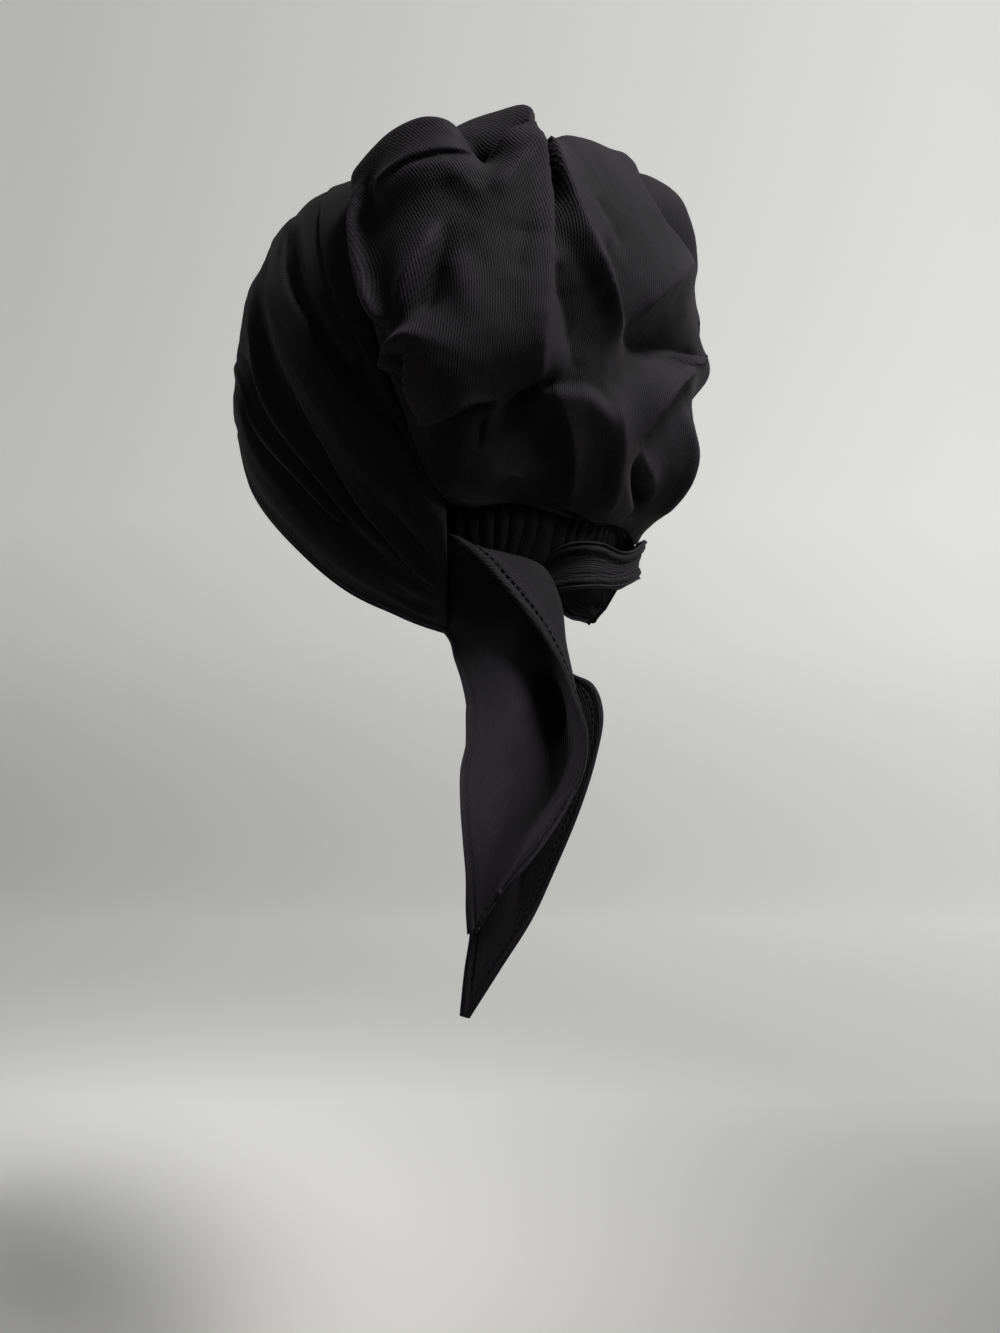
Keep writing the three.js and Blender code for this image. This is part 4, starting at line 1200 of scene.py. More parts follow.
# Folds of the bag as seen from behind: side to the wearer's left, up, and the height. A way's left is as
# seen from behind, so it is the wearer's left on a way that runs up.
BAG_FOLDS = (
    Fold("knife edge", ((0.325, 0.345, 7), (0.345, 0.30, 7.5), (0.372, 0.22, 7.5), (0.39, 0.14, 7),
                        (0.41, 0.05, 6.5), (0.428, -0.05, 6), (0.431, -0.13, 6)), 0.6, Foot.LEFT, 8),
    Fold("panel edge", ((0.431, -0.13, 6), (0.448, -0.268, 6), (0.452, -0.359, 5.5), (0.446, -0.43, 4),
                        (0.423, -0.507, 0)), 0.6),
    Fold("strip hollow", ((0.405, -0.12, -1), (0.395, -0.21, -3.5), (0.366, -0.275, -4.5), (0.34, -0.345, -5),
                          (0.32, -0.405, -5), (0.295, -0.458, -4.5), (0.263, -0.494, -3)), 0.7),
    Fold("inner edge", ((0.285, 0.31, 4), (0.315, 0.22, 6), (0.315, 0.12, 7), (0.305, 0.02, 8),
                        (0.28, -0.07, 9), (0.248, -0.165, 10), (0.207, -0.25, 9), (0.155, -0.315, 5), (0.115,
                        -0.33, 0)), 0.6),
    Fold("inner fullness", ((0.12, 0.26, 7), (0.09, 0.184, 8), (0.07, 0.088, 9), (0.06, 0.0, 8.5),
                            (0.05, -0.08, 7)), 5),
    Fold("cross hollow", ((0.125, -0.33, 0), (0.06, -0.318, -6), (-0.027, -0.30, -12), (-0.11, -0.28, -15),
                          (-0.20, -0.255, -15), (-0.32, -0.225, -13), (-0.44, -0.195, -8), (-0.51, -0.18,
                          -4)), 0.6),
    Fold("strap top", ((-0.32, -0.30, -7), (-0.20, -0.335, -7), (-0.06, -0.37, -6), (0.05, -0.43, -5),
                       (0.12, -0.50, -4.5)), 2),
    Fold("strap edge", ((-0.54, -0.165, 5), (-0.43, -0.235, 6), (-0.34, -0.30, 7), (-0.245, -0.365, 8),
                        (-0.175, -0.42, 8.5), (-0.125, -0.47, 9), (-0.088, -0.52, 9), (-0.06, -0.565, 8),
                        (-0.04, -0.61, 7), (-0.022, -0.65, 6)), 0.6, Foot.LEFT, 9),
    Fold("low right fullness", ((-0.40, -0.47, 4), (-0.46, -0.55, 11), (-0.48, -0.64, 12), (-0.47, -0.75, 7)),
                                2.5),
    Fold("low dent", ((-0.06, -0.695, 3), (-0.11, -0.712, -1), (-0.19, -0.735, -4), (-0.27, -0.757, -4),
                      (-0.33, -0.775, 0)), 0.7),
    Fold("dent left ridge", ((-0.03, -0.66, 6), (0.0, -0.71, 6.5), (-0.03, -0.755, 7), (-0.09, -0.79, 7),
                             (-0.20, -0.82, 6)), 0.9),
    Fold("dent right ridge", ((-0.045, -0.655, 6), (-0.13, -0.685, 5), (-0.23, -0.71, 4.5),
                              (-0.34, -0.735, 4)), 0.9),
    Fold("arc hollow", ((0.43, -0.516, -5), (0.40, -0.523, -5), (0.356, -0.52, -4), (0.301, -0.513, -3.5),
                        (0.254, -0.508, -3), (0.205, -0.518, -3), (0.150, -0.537, -2), (0.112, -0.558, 1)),
                        0.7),
    Fold("arc roll", ((0.41, -0.553, -3), (0.36, -0.556, -1), (0.30, -0.55, 0.5), (0.26, -0.545, 1),
                      (0.206, -0.556, 2), (0.165, -0.578, 3), (0.135, -0.605, 4)), 1.6),
    Fold("low ridge", ((0.112, -0.555, 2), (0.10, -0.59, 5), (0.075, -0.635, 6.5), (0.05, -0.68, 7),
                       (0.03, -0.72, 7), (0.01, -0.755, 7), (-0.012, -0.792, 7), (-0.045, -0.83, 6)), 0.7),
    Fold("beside low ridge", ((0.16, -0.64, 2), (0.13, -0.69, 2.5), (0.09, -0.76, 3), (0.04, -0.82, 3),
                              (-0.01, -0.87, 3)), 2.5),
    Fold("under arc hollow", ((0.50, -0.64, -5), (0.40, -0.67, -3), (0.28, -0.70, 0), (0.20, -0.72, 2)), 4),
    Fold("hook crest", ((0.88, -0.42, 2), (0.87, -0.385, 4), (0.86, -0.33, 5), (0.852, -0.297, 5.5),
                        (0.835, -0.29, 5.5), (0.80, -0.315, 4.5)), 0.6),
    Fold("hook slit", ((0.842, -0.335, -6), (0.842, -0.365, -10), (0.835, -0.41, -11), (0.823, -0.46, -11),
                       (0.805, -0.515, -9), (0.775, -0.57, -5)), 0.6),
    Fold("flap side", ((0.825, -0.33, 3), (0.81, -0.39, 3.5), (0.80, -0.45, 3.5), (0.78, -0.515, 3),
                       (0.75, -0.588, 2)), 0.6, Foot.RIGHT, 10),
    Fold("flap crease", ((0.80, -0.315, 4.5), (0.751, -0.35, 4.5), (0.705, -0.39, 4), (0.651, -0.427, 3.5),
                         (0.586, -0.468, 2.5), (0.516, -0.503, 0.5), (0.453, -0.523, -2)), 0.6),
    Fold("flap top", ((0.79, -0.38, 4), (0.76, -0.415, 4), (0.72, -0.45, 3.5), (0.67, -0.48, 3.5),
                      (0.61, -0.51, 2.5), (0.56, -0.527, 1)), 3),
    Fold("overhang edge", ((0.75, -0.588, 3), (0.72, -0.571, 4), (0.69, -0.556, 4.5), (0.66, -0.546, 5),
                           (0.634, -0.543, 4.5), (0.594, -0.548, 3), (0.555, -0.562, 0)), 0.6, Foot.RIGHT, 9),
    Fold("pinch", ((0.525, -0.60, -7), (0.49, -0.575, -8), (0.46, -0.545, -8), (0.43, -0.525, -7)), 0.9),
    Fold("pinch lip", ((0.50, -0.54, -1), (0.46, -0.528, -2), (0.43, -0.517, -2)), 0.8),
    Fold("lower panel", ((0.66, -0.70, 1), (0.55, -0.75, 2), (0.42, -0.78, 2), (0.25, -0.82, 2)), 5),
    Fold("seam shadow", ((0.81, 0.32, 0), (0.848, 0.25, -2), (0.88, 0.13, -2), (0.893, 0.0, -2),
                         (0.885, -0.10, -2), (0.865, -0.19, -1)), 0.6),
    Fold("first roll edge", ((0.785, 0.30, 4), (0.74, 0.288, 5.5), (0.68, 0.275, 6), (0.62, 0.268, 6),
                             (0.57, 0.255, 5.5), (0.54, 0.25, 3)), 0.6, Foot.RIGHT, 2),
    Fold("first roll", ((0.79, 0.50, 7), (0.72, 0.47, 8.5), (0.65, 0.43, 9), (0.58, 0.39, 9),
                        (0.525, 0.35, 7)), 2.5),
    Fold("dark hollow", ((0.46, 0.56, 3), (0.452, 0.44, -5), (0.462, 0.37, -12), (0.485, 0.315, -13),
                         (0.515, 0.27, -7), (0.53, 0.235, -1)), 0.9),
    Fold("panel top", ((0.47, 0.265, 1), (0.425, 0.292, 4), (0.39, 0.302, 5), (0.35, 0.318, 5),
                       (0.32, 0.335, 4)), 0.7, Foot.LEFT, 7),
    Fold("second roll", ((0.36, 0.80, 9), (0.315, 0.55, 12), (0.285, 0.45, 13), (0.285, 0.39, 11),
                         (0.30, 0.35, 8)), 0.9),
    Fold("second roll hollow", ((0.20, 0.75, 1), (0.18, 0.5, -3), (0.205, 0.41, -6), (0.25, 0.345, -5)), 0.9),
    Fold("inner top", ((0.27, 0.32, 0), (0.22, 0.335, 3), (0.15, 0.335, 5), (0.05, 0.33, 6),
                       (-0.03, 0.32, 6)), 1),
    Fold("right panel edge", ((-0.0, 0.34, 6), (-0.01, 0.27, 8), (-0.02, 0.20, 9), (-0.06, 0.14, 10),
                              (-0.13, 0.11, 10), (-0.22, 0.095, 9), (-0.33, 0.10, 6), (-0.40, 0.115, 3)),
                              0.7),
    Fold("far strap", ((-0.14, 0.48, 8), (-0.26, 0.38, 10), (-0.37, 0.28, 9), (-0.47, 0.18, 6)), 1.6),
    Fold("third roll", ((0.04, 0.9, 5), (0.06, 0.66, 6), (0.05, 0.45, 5)), 1.6),
    Fold("third crease", ((0.2, 0.88, -4), (0.17, 0.64, -6), (0.13, 0.46, -5)), 0.8),
    Fold("fourth roll", ((-0.36, 0.82, 6), (-0.24, 0.6, 7), (-0.14, 0.44, 5)), 1.6),
    Fold("fourth crease", ((-0.18, 0.88, -3), (-0.1, 0.64, -4), (-0.06, 0.46, -2)), 1),
    Fold("fifth roll", ((-0.74, 0.5, 6), (-0.56, 0.38, 7), (-0.46, 0.24, 5)), 1.6),
    Fold("fifth crease", ((-0.58, 0.68, -4), (-0.42, 0.5, -4), (-0.34, 0.36, -3)), 1),
    Fold("far side fold", ((-0.86, -0.05, 4), (-0.7, -0.12, 6), (-0.56, -0.16, 5)), 1.6),
    Fold("far side crease", ((-0.86, -0.28, -4), (-0.74, -0.3, -5), (-0.6, -0.34, -5)), 1),
    Fold("far side edge", ((-0.88, 0.12, 4), (-0.74, 0.1, 5), (-0.58, 0.06, 4)), 0.9, Foot.LEFT, 6),
    Fold("far low fold", ((-0.82, -0.45, 4), (-0.66, -0.5, 6), (-0.56, -0.6, 5)), 1.8),
    Fold("panel fullness", ((0.66, 0.18, 3.5), (0.63, 0.05, 3.5), (0.62, -0.12, 3.5), (0.60, -0.28, 4),
                            (0.58, -0.38, 4)), 4),
    Fold("panel middle", ((0.45, 0.2, 5), (0.48, 0, 4.5), (0.51, -0.2, 4.5), (0.50, -0.35, 4.5),
                          (0.49, -0.44, 3.5)), 4),
    Fold("dimple ridge", ((0.713, 0.06, 2), (0.75, 0.0, 5), (0.79, -0.064, 6.5), (0.828, -0.127, 6),
                          (0.855, -0.19, 4)), 0.6),
    Fold("beside dimple ridge", ((0.70, 0.04, 2), (0.722, -0.02, 0), (0.745, -0.09, -2.5),
                                 (0.765, -0.16, -3.5), (0.78, -0.22, -3)), 0.6),
    Fold("hook bump", ((0.705, -0.08, 3), (0.70, -0.15, 4.5), (0.69, -0.21, 5), (0.665, -0.29, 4.5)), 2.5),
    Fold("under first roll", ((0.80, 0.235, 2), (0.74, 0.235, 4), (0.68, 0.225, 5.5), (0.62, 0.21, 5.5),
                              (0.57, 0.20, 5.5)), 2),
    Fold("outer hollow", ((0.95, -0.20, -6), (0.945, -0.30, -8), (0.93, -0.40, -8), (0.895, -0.50, -8),
                          (0.85, -0.60, -7)), 1.5),
    Fold("knife hollow", ((0.265, 0.40, -4), (0.285, 0.345, -9), (0.305, 0.29, -8), (0.338, 0.20, -3),
                          (0.36, 0.10, 0)), 0.7),
    Fold("beside inner edge", ((0.225, -0.06, 5), (0.195, -0.14, 4.5), (0.16, -0.21, 3), (0.128, -0.28, 1)),
                               0.8),
    Fold("cross hollow end", ((0.125, -0.338, 1), (0.174, -0.372, -1), (0.222, -0.395, -2),
                              (0.268, -0.42, -3), (0.30, -0.44, -4)), 2),
    Fold("under strap", ((-0.42, -0.37, -4), (-0.34, -0.44, -4), (-0.27, -0.50, -3), (-0.21, -0.57, -2),
                         (-0.15, -0.64, 0)), 1.5),
    Fold("first roll wrinkle", ((0.64, 0.37, 7), (0.59, 0.345, 6.5), (0.55, 0.315, 5)), 0.8),
    Fold("inner fold", ((0.38, 0.02, 1), (0.345, -0.08, 2), (0.31, -0.17, 2), (0.27, -0.26, 2),
                        (0.225, -0.34, 1)), 1.2),
    Fold("seam roll", ((0.79, 0.40, 4), (0.838, 0.355, 5), (0.882, 0.275, 5), (0.912, 0.15, 5),
                       (0.925, 0.02, 5), (0.92, -0.10, 4.5), (0.895, -0.20, 3.5)), 0.6, Foot.LEFT, 6),
    Fold("facet ridge", ((0.09, -0.31, -2), (0.04, -0.25, 4), (-0.01, -0.205, 8), (-0.08, -0.135, 12),
                         (-0.18, -0.045, 12), (-0.28, 0.03, 9), (-0.375, 0.10, 4)), 0.8),
    Fold("far hollow", ((-0.04, 0.38, -4), (-0.07, 0.31, -10), (-0.12, 0.25, -13), (-0.20, 0.20, -13),
                        (-0.30, 0.17, -10), (-0.40, 0.15, -5)), 0.7),
)

BAG_CRINKLES = (
    Crinkle("low crease", ((0.349, -0.56), (0.298, -0.62), (0.25, -0.68), (0.219, -0.72), (0.179, -0.787),
                           (0.136, -0.852)), 2.2, 7, 1.4),
    Crinkle("short crease", ((0.583, -0.61), (0.58, -0.663), (0.567, -0.71)), -1.2, 2, 4),
    Crinkle("panel ridge", ((0.332, 0.26), (0.386, 0.247), (0.453, 0.201), (0.522, 0.142), (0.579, 0.099)),
                            2.4, 5, 4),
    Crinkle("upper panel ridge", ((0.63, 0.22), (0.613, 0.16), (0.60, 0.134), (0.579, 0.099)), 1, 5, 4),
    Crinkle("panel hollow", ((0.667, 0.19), (0.664, 0.143), (0.638, 0.073), (0.605, 0.027)), -0.8, 6, 7),
    Crinkle("faint hollow", ((0.48, 0.01), (0.52, -0.08), (0.54, -0.21)), -1.2, 4, 7),
    Crinkle("inner panel crease", ((0.235, 0.14), (0.19, 0.06), (0.15, -0.05)), -1.2, 5, 3),
    Crinkle("low left ripple", ((0.45, -0.82), (0.34, -0.78), (0.24, -0.70)), 1, 4, 3),
    Crinkle("seam lump", ((0.775, 0.315), (0.79, 0.33), (0.80, 0.345)), 1.5, 2.5, 2.5),
    Crinkle("seam gather", ((0.85, 0.36), (0.885, 0.37), (0.91, 0.38)), -0.7, 1.5, 1.5),
    Crinkle("seam tuck", ((0.91, 0.20), (0.96, 0.21), (0.99, 0.22)), -0.7, 1.5, 2),
)


def bag_direction(angle: Array, clock: Array) -> Array:
    """Works out directions from the middle of the bag.

    Args:
        angle: angles from its axis in degrees.
        clock: angles round its axis, from straight up towards the wearer's left.

    Returns:
        The unit directions.
    """
    tilt, spin = np.radians(angle), np.radians(clock)
    sideways = (np.sin(tilt) * np.sin(spin))[..., None] * np.array([1.0, 0.0, 0.0])
    return sideways + np.cos(tilt)[..., None] * BAG_AXIS + (np.sin(tilt) * np.cos(spin))[..., None] * BAG_RISE


def round_reach(direction: Array) -> Array:
    """Measures the bag's round form, before its panels are cut flat.

    Args:
        direction: unit directions from its middle.

    Returns:
        The distance to its surface along each.
    """
    x, y, z = np.moveaxis(direction, -1, 0)
    height = np.where(z > 0, BAG_UP, BAG_DOWN)
    level = np.hypot(x / BAG_HALF_WIDTH, y / BAG_BACK)
    return (level**BAG_FULLNESS + np.abs(z / height) ** BAG_FULLNESS) ** (-1 / BAG_FULLNESS)


def map_direction(side: Array, up: Array) -> Array:
    """Works out directions from the middle of the bag to places on its map.

    Args:
        side: the places to the wearer's left, up to 1 at the rim.
        up: the places up.

    Returns:
        The unit directions.
    """
    clock = np.degrees(np.arctan2(side, up))
    edge = read_column(BAG_EDGE, "clock", "angle", np.abs(clock))
    return bag_direction(np.hypot(side, up) / BAG_TURN * edge, clock)


def panel_planes(step: float = 0.01) -> list[tuple[Array, float]]:
    """Works out the plane of each flat panel.

    Args:
        step: how far to each side on the map the round form's slope is measured.

    Returns:
        Each plane's outward normal and its distance from the middle of the bag.
    """
    planes = []
    for panel in BAG_PANELS:
        side, up = np.array([0.0, -step, 0.0]), np.array([0.0, 0.0, step])
        aim = map_direction(panel["side"] + side, panel["up"] + up)
        spots = aim * round_reach(aim)[:, None]
        normal = unit(np.cross(spots[1] - spots[0], spots[2] - spots[0]))
        planes.append((normal, float(normal @ spots[0]) - panel["cut"]))
    return planes


PANEL_PLANES = panel_planes()


def panelled_reach(direction: Array) -> Array:
    """Measures the bag's form with its panels cut flat.

    Args:
        direction: unit directions from its middle.

    Returns:
        The distance to its surface along each.
    """
    reach = round_reach(direction)
    for normal, distance in PANEL_PLANES:
        facing = direction @ normal
        flat = distance / np.maximum(facing, LEAST_FACING)
        reach = np.where(facing > LEAST_FACING, soft_min(reach, flat, FACET_BLEND), reach)
    return reach


def rest_on_head(points: Array, seam: Array) -> Array:
    """Lifts the bag to where the head and the band under it hold it.

    Args:
        points: points of the bag.
        seam: for each, the point of the rim on its side.

    Returns:
        The lifted points.
    """
    ahead = (seam - points) @ BAG_AXIS
    least = REST_ON_HEAD + (REST_ON_BAND - REST_ON_HEAD) * smooth_step(-3, 3, ahead)
    spoke = points - HEAD.centre()
    reach = np.linalg.norm(spoke, axis=-1)
    way = spoke / reach[..., None]
    lifted = -soft_min(-reach, -(HEAD.reach(way) + least), REST_BLEND)
    on_crown = smooth_step(0.1, 0.5, way[..., 2])
    return HEAD.centre() + way * (reach + (lifted - reach) * on_crown)[..., None]


def bag_seam(clock: Array) -> Array:
    """Works out the bag's rim, round the seam.

    Args:
        clock: angles round the bag in degrees.

    Returns:
        The rim's points.
    """
    over_band = REST_AT_RIM + NAPE_LIFT * smooth_step(BAND_END, 1, np.abs(clock) / SEAM_CORNER)
    over_elastic = ELASTIC_LIFT + ELASTIC_RUFFLE + ELASTIC_CLEARANCE
    past_corner = smooth_step(*RIM_DROP, np.abs(clock) - SEAM_CORNER)
    under = over_band + (over_elastic - over_band) * past_corner
    return HEAD.over(seam_direction(clock), under + CAD_GAP + BAG_WALL)


def bag_surface(side: Array, up: Array) -> Array:
    """Works out the bag's smooth form, turned in to the seam at its rim.

    Args:
        side: places on its map to the wearer's left, up to 1 at the rim.
        up: the places up.

    Returns:
        The form's points.
    """
    share, clock = np.minimum(np.hypot(side, up), 1.0), np.degrees(np.arctan2(side, up))
    edge = read_column(BAG_EDGE, "clock", "angle", np.abs(clock))
    back_off = 0.06

    def form(part: Array) -> Array:
        """The free form at shares of the way from the bag's middle to its rim."""
        direction = bag_direction(part / BAG_TURN * edge, clock)
        return BAG_MIDDLE + direction * panelled_reach(direction)[..., None]

    free = form(np.minimum(share, BAG_TURN))
    t = np.clip((share - BAG_TURN) / (1 - BAG_TURN), 0, 1)[..., None]
    turn = read_column(BAG_EDGE, "clock", "turn", np.abs(clock))[..., None]
    leave = free + (free - form(np.full_like(share, BAG_TURN - back_off))) * turn
    seam = bag_seam(clock)
    turned = free * (1 - t) ** 2 + leave * (2 * t * (1 - t)) + seam * t**2
    rested = rest_on_head(turned, seam)
    return rested + (turned - rested) * smooth_step(0.6, 1.0, t)


@dataclass
class CrownBag:
    """The slouchy bag behind the band, drawn into flat panels, rolls and overlapping folds.

    across is the cut cloth's size in mm, a round of that width. The folds fade from the share hold of
    the way to its rim.
    """

    material: bpy.types.Material
    steps: int = 218
    wall: float = 1.3
    across: float = 265
    taut: float = 0.7
    hold: float = 0.94
    crumple: tuple[Spot, ...] = ((0.2, 3, 3), (0.18, 7, 2))
    seed: int = 21

    def cloth(self) -> Cloth:
        """Works out the bag's outer face.

        Returns:
            The face's points, with their places on the cut cloth.
        """
        folded = FoldMap(
            (1, -1), (-1, 1), (-BAG_SPAN, BAG_SPAN), BAG_FOLDS, BAG_CRINKLES,
            round_map=True, form=lambda places: bag_surface(places[..., 0], places[..., 1]), taut=self.taut,
        )
        steps = resolution(self.steps)
        x, y = grid(*[2 * np.arange(steps + 1) / steps - 1] * 2)
        share, turn = np.maximum(np.abs(x), np.abs(y)), np.arctan2(y, x)
        places = np.stack([share * np.sin(turn), share * np.cos(turn)], axis=-1)
        rim = 1 - smooth_step(self.hold, 1.0, share)
        lift = folded.lift(places) * rim
        leant = places + folded.lean(places) * rim[..., None]
        side, up = leant[..., 0], leant[..., 1]
        form = bag_surface(side, up)
        step = 0.004
        normal = unit(np.cross(bag_surface(side - step, up) - form, bag_surface(side, up + step) - form))
        points = form + normal * lift[..., None]
        rested = rest_on_head(points, bag_seam(np.degrees(turn)))
        points = rested + (points - rested) * smooth_step(self.hold + 0.01, 1.0, share)[..., None]
        crumple = crumpled(x.shape, self.seed, self.crumple)
        return Cloth(points, places * self.across / 2).raised(crumple * rim)

    def build(self) -> list[bpy.types.Object]:
        """Makes the bag and hides the frame's bag.

        Returns:
            The bag alone.
        """
        piece = self.cloth().build("slouchy_crown_bag", self.wall)
        dress(piece, self.material)
        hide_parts("crown_bag")
        return [piece]


# ---- Nape elastic ----
@dataclass
class NapeElastic:
    """The ruched casing of the elastic across the nape.

    It runs between two places round the bag's clock, from tuck past the seam's height to drop below it.
    length and width are its casing's cut size in mm. The gathers are spread unevenly by the share wander
    of its length and vary in depth between them, and shallow is what is left of them at its edges.
    """

    material: bpy.types.Material
    start: float = 141
    finish: float = 219
    drop: float = 24.5
    tuck: float = -4.0
    gathers: int = 22
    wander: float = 0.018
    depth: float = 0.9
    mean_size: float = 0.75
    size_change: float = 0.35
    sharpness: float = 0.7
    shallow: float = 0.35
    steps: tuple[int, int] = (420, 30)
    wall: float = 2.0
    length: float = 160
    width: float = 21
    seed: int = 31

    def cloth(self) -> Cloth:
        """Works out the casing's outer face.

        Returns:
            The face's points, with their places on the cut casing.
        """
        along, across = (resolution(n) for n in self.steps)
        part, down = grid(np.arange(along + 1) / along, 1 - np.arange(across + 1) / across)
        clock = self.start + (self.finish - self.start) * part
        top = seam_direction(np.where(clock > 180, clock - 360, clock))
        aim = HEAD.over(top, np.zeros_like(part)) - HEAD.centre()
        aim[..., 2] -= self.tuck + (self.drop - self.tuck) * down
        wander = unevenness(part.shape, along / 30, across / 3, self.seed)
        phase = 2 * math.pi * self.gathers * (part + self.wander * wander)
        gather = 1 - 2 * np.abs(np.sin(phase / 2)) ** self.sharpness
        vary = unevenness(part.shape, along / 40, across / 2, self.seed + 1)
        size = self.mean_size + self.size_change * vary
        deep = self.shallow + (1 - self.shallow) * bell(down, 0.5, 0.42, 4)
        lift = ELASTIC_LIFT - self.depth * ELASTIC_RUFFLE * gather * size * deep
        cut = np.stack([part * self.length, down * self.width], axis=-1)
        return Cloth(HEAD.over(aim, lift), cut)

    def build(self) -> list[bpy.types.Object]:
        """Makes the casing and hides the frame's elastic.

        Returns:
            The casing alone.
        """
        piece = self.cloth().build("ruched_nape_elastic", self.wall)
        dress(piece, self.material)
        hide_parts("nape_elastic")
        return [piece]


# ---- Ties ----
# The ties' places are measured from an upright plane under the bag, turned about the head's own axis:
# across along it, out from it, and up.
TIE_TURN = math.radians(43)
TIE_OUT = np.array([math.sin(TIE_TURN), math.cos(TIE_TURN), 0.0])
TIE_ACROSS = np.array([-math.cos(TIE_TURN), math.sin(TIE_TURN), 0.0])

# The left tie's lines from the end of the band to its tip: its plain edge, its ridge, its hollow, its turned
# fold and its hem.
LEFT_TIE = {
    "edge": (
        (13, 67, -56), (15, 73, -63), (18, 79, -72), (20, 83, -82), (20, 86, -93), (18, 87, -103),
        (18, 88, -114), (19, 89, -127), (20, 90, -139), (20, 90, -150), (20.5, 90, -158),
    ),
    "ridge": (
        (20, 72, -51), (28, 80, -59), (34, 86, -68), (37, 90, -80), (36, 92, -91), (36, 92, -102),
        (34, 92, -113), (30, 92, -126), (27, 91, -138), (24, 90, -149), (21.2, 90, -157.6),
    ),
    "hollow": (
        (27, 72, -43), (43, 77, -43), (49, 76, -57), (52, 77, -70), (55, 78, -84), (57, 80, -95),
        (54, 82, -106), (46, 85, -119), (37, 88, -133), (28, 89, -147), (22, 90, -157),
    ),
    "fold": (
        (32, 80, -27), (46, 80, -31), (52, 81, -43), (54, 84, -59), (57, 86, -76), (60, 87, -93),
        (56, 87, -105), (49, 88, -118), (40, 89, -131), (31, 90, -144), (23, 90, -157),
    ),
    "hem": (
        (21, 87, -27), (32, 88, -39), (42, 92, -52), (50, 94, -65), (55, 94, -78), (59, 95, -90),
        (59, 93, -101), (54, 91, -114), (45, 91, -128), (34, 90, -142), (24, 90, -156),
    ),
}

# The right tie's two edges: out from the band's end in a loop under the bag, in behind the left tie, and
# down. Its bow is how far its middle stands off the line between them.
RIGHT_TIE = {
    "upper": (
        (87, 29, -13), (89, 42, -13), (87, 57, -17), (78, 69, -23), (67, 77, -21), (55, 77, -22),
        (45, 67, -30), (44, 61, -43), (50, 58, -57), (58, 61, -67), (66, 66, -72), (69, 73, -83),
        (66, 76, -99), (60, 78, -117), (51, 78, -138), (43, 78, -155), (32, 78, -172), (21, 77, -189),
    ),
    "lower": (
        (79, 29, -31), (84, 44, -30), (84, 60, -32), (75, 72, -37), (62, 78, -38), (48, 74, -40),
        (34, 63, -47), (26, 57, -56), (21, 58, -68), (19, 63, -79), (19, 68, -91), (19, 73, -102),
        (19, 76, -114), (19, 77, -128), (20, 78, -143), (21, 77, -158), (19, 77, -173), (17.5, 77, -188),
    ),
}
RIGHT_BOW = (2, 2, 2, 2, 2, 2, 1, 0, -3, -5, -6, -6, -5, -4, -3, -2, -1, 0)
# Where the ties' edges are sewn across the ends of the band, from its hem at 0 to its seam at 1.
LEFT_ROOT, RIGHT_ROOT = (0.0, 0.7), (0.5, 0.9)


def tie_line(line: Sequence[Spot]) -> Array:
    """One of a tie's lines as points in space."""
    across, out, z = np.array(line, float).T
    return across[:, None] * TIE_ACROSS + out[:, None] * TIE_OUT + z[:, None] * UP


def band_end(side: int, across: Array) -> Array:
    """Points just inside an end of the band, where the ties are sewn on."""
    near_end, under = 0.975, -3.4
    return band_surface(np.full(across.shape, near_end * side), across, under)


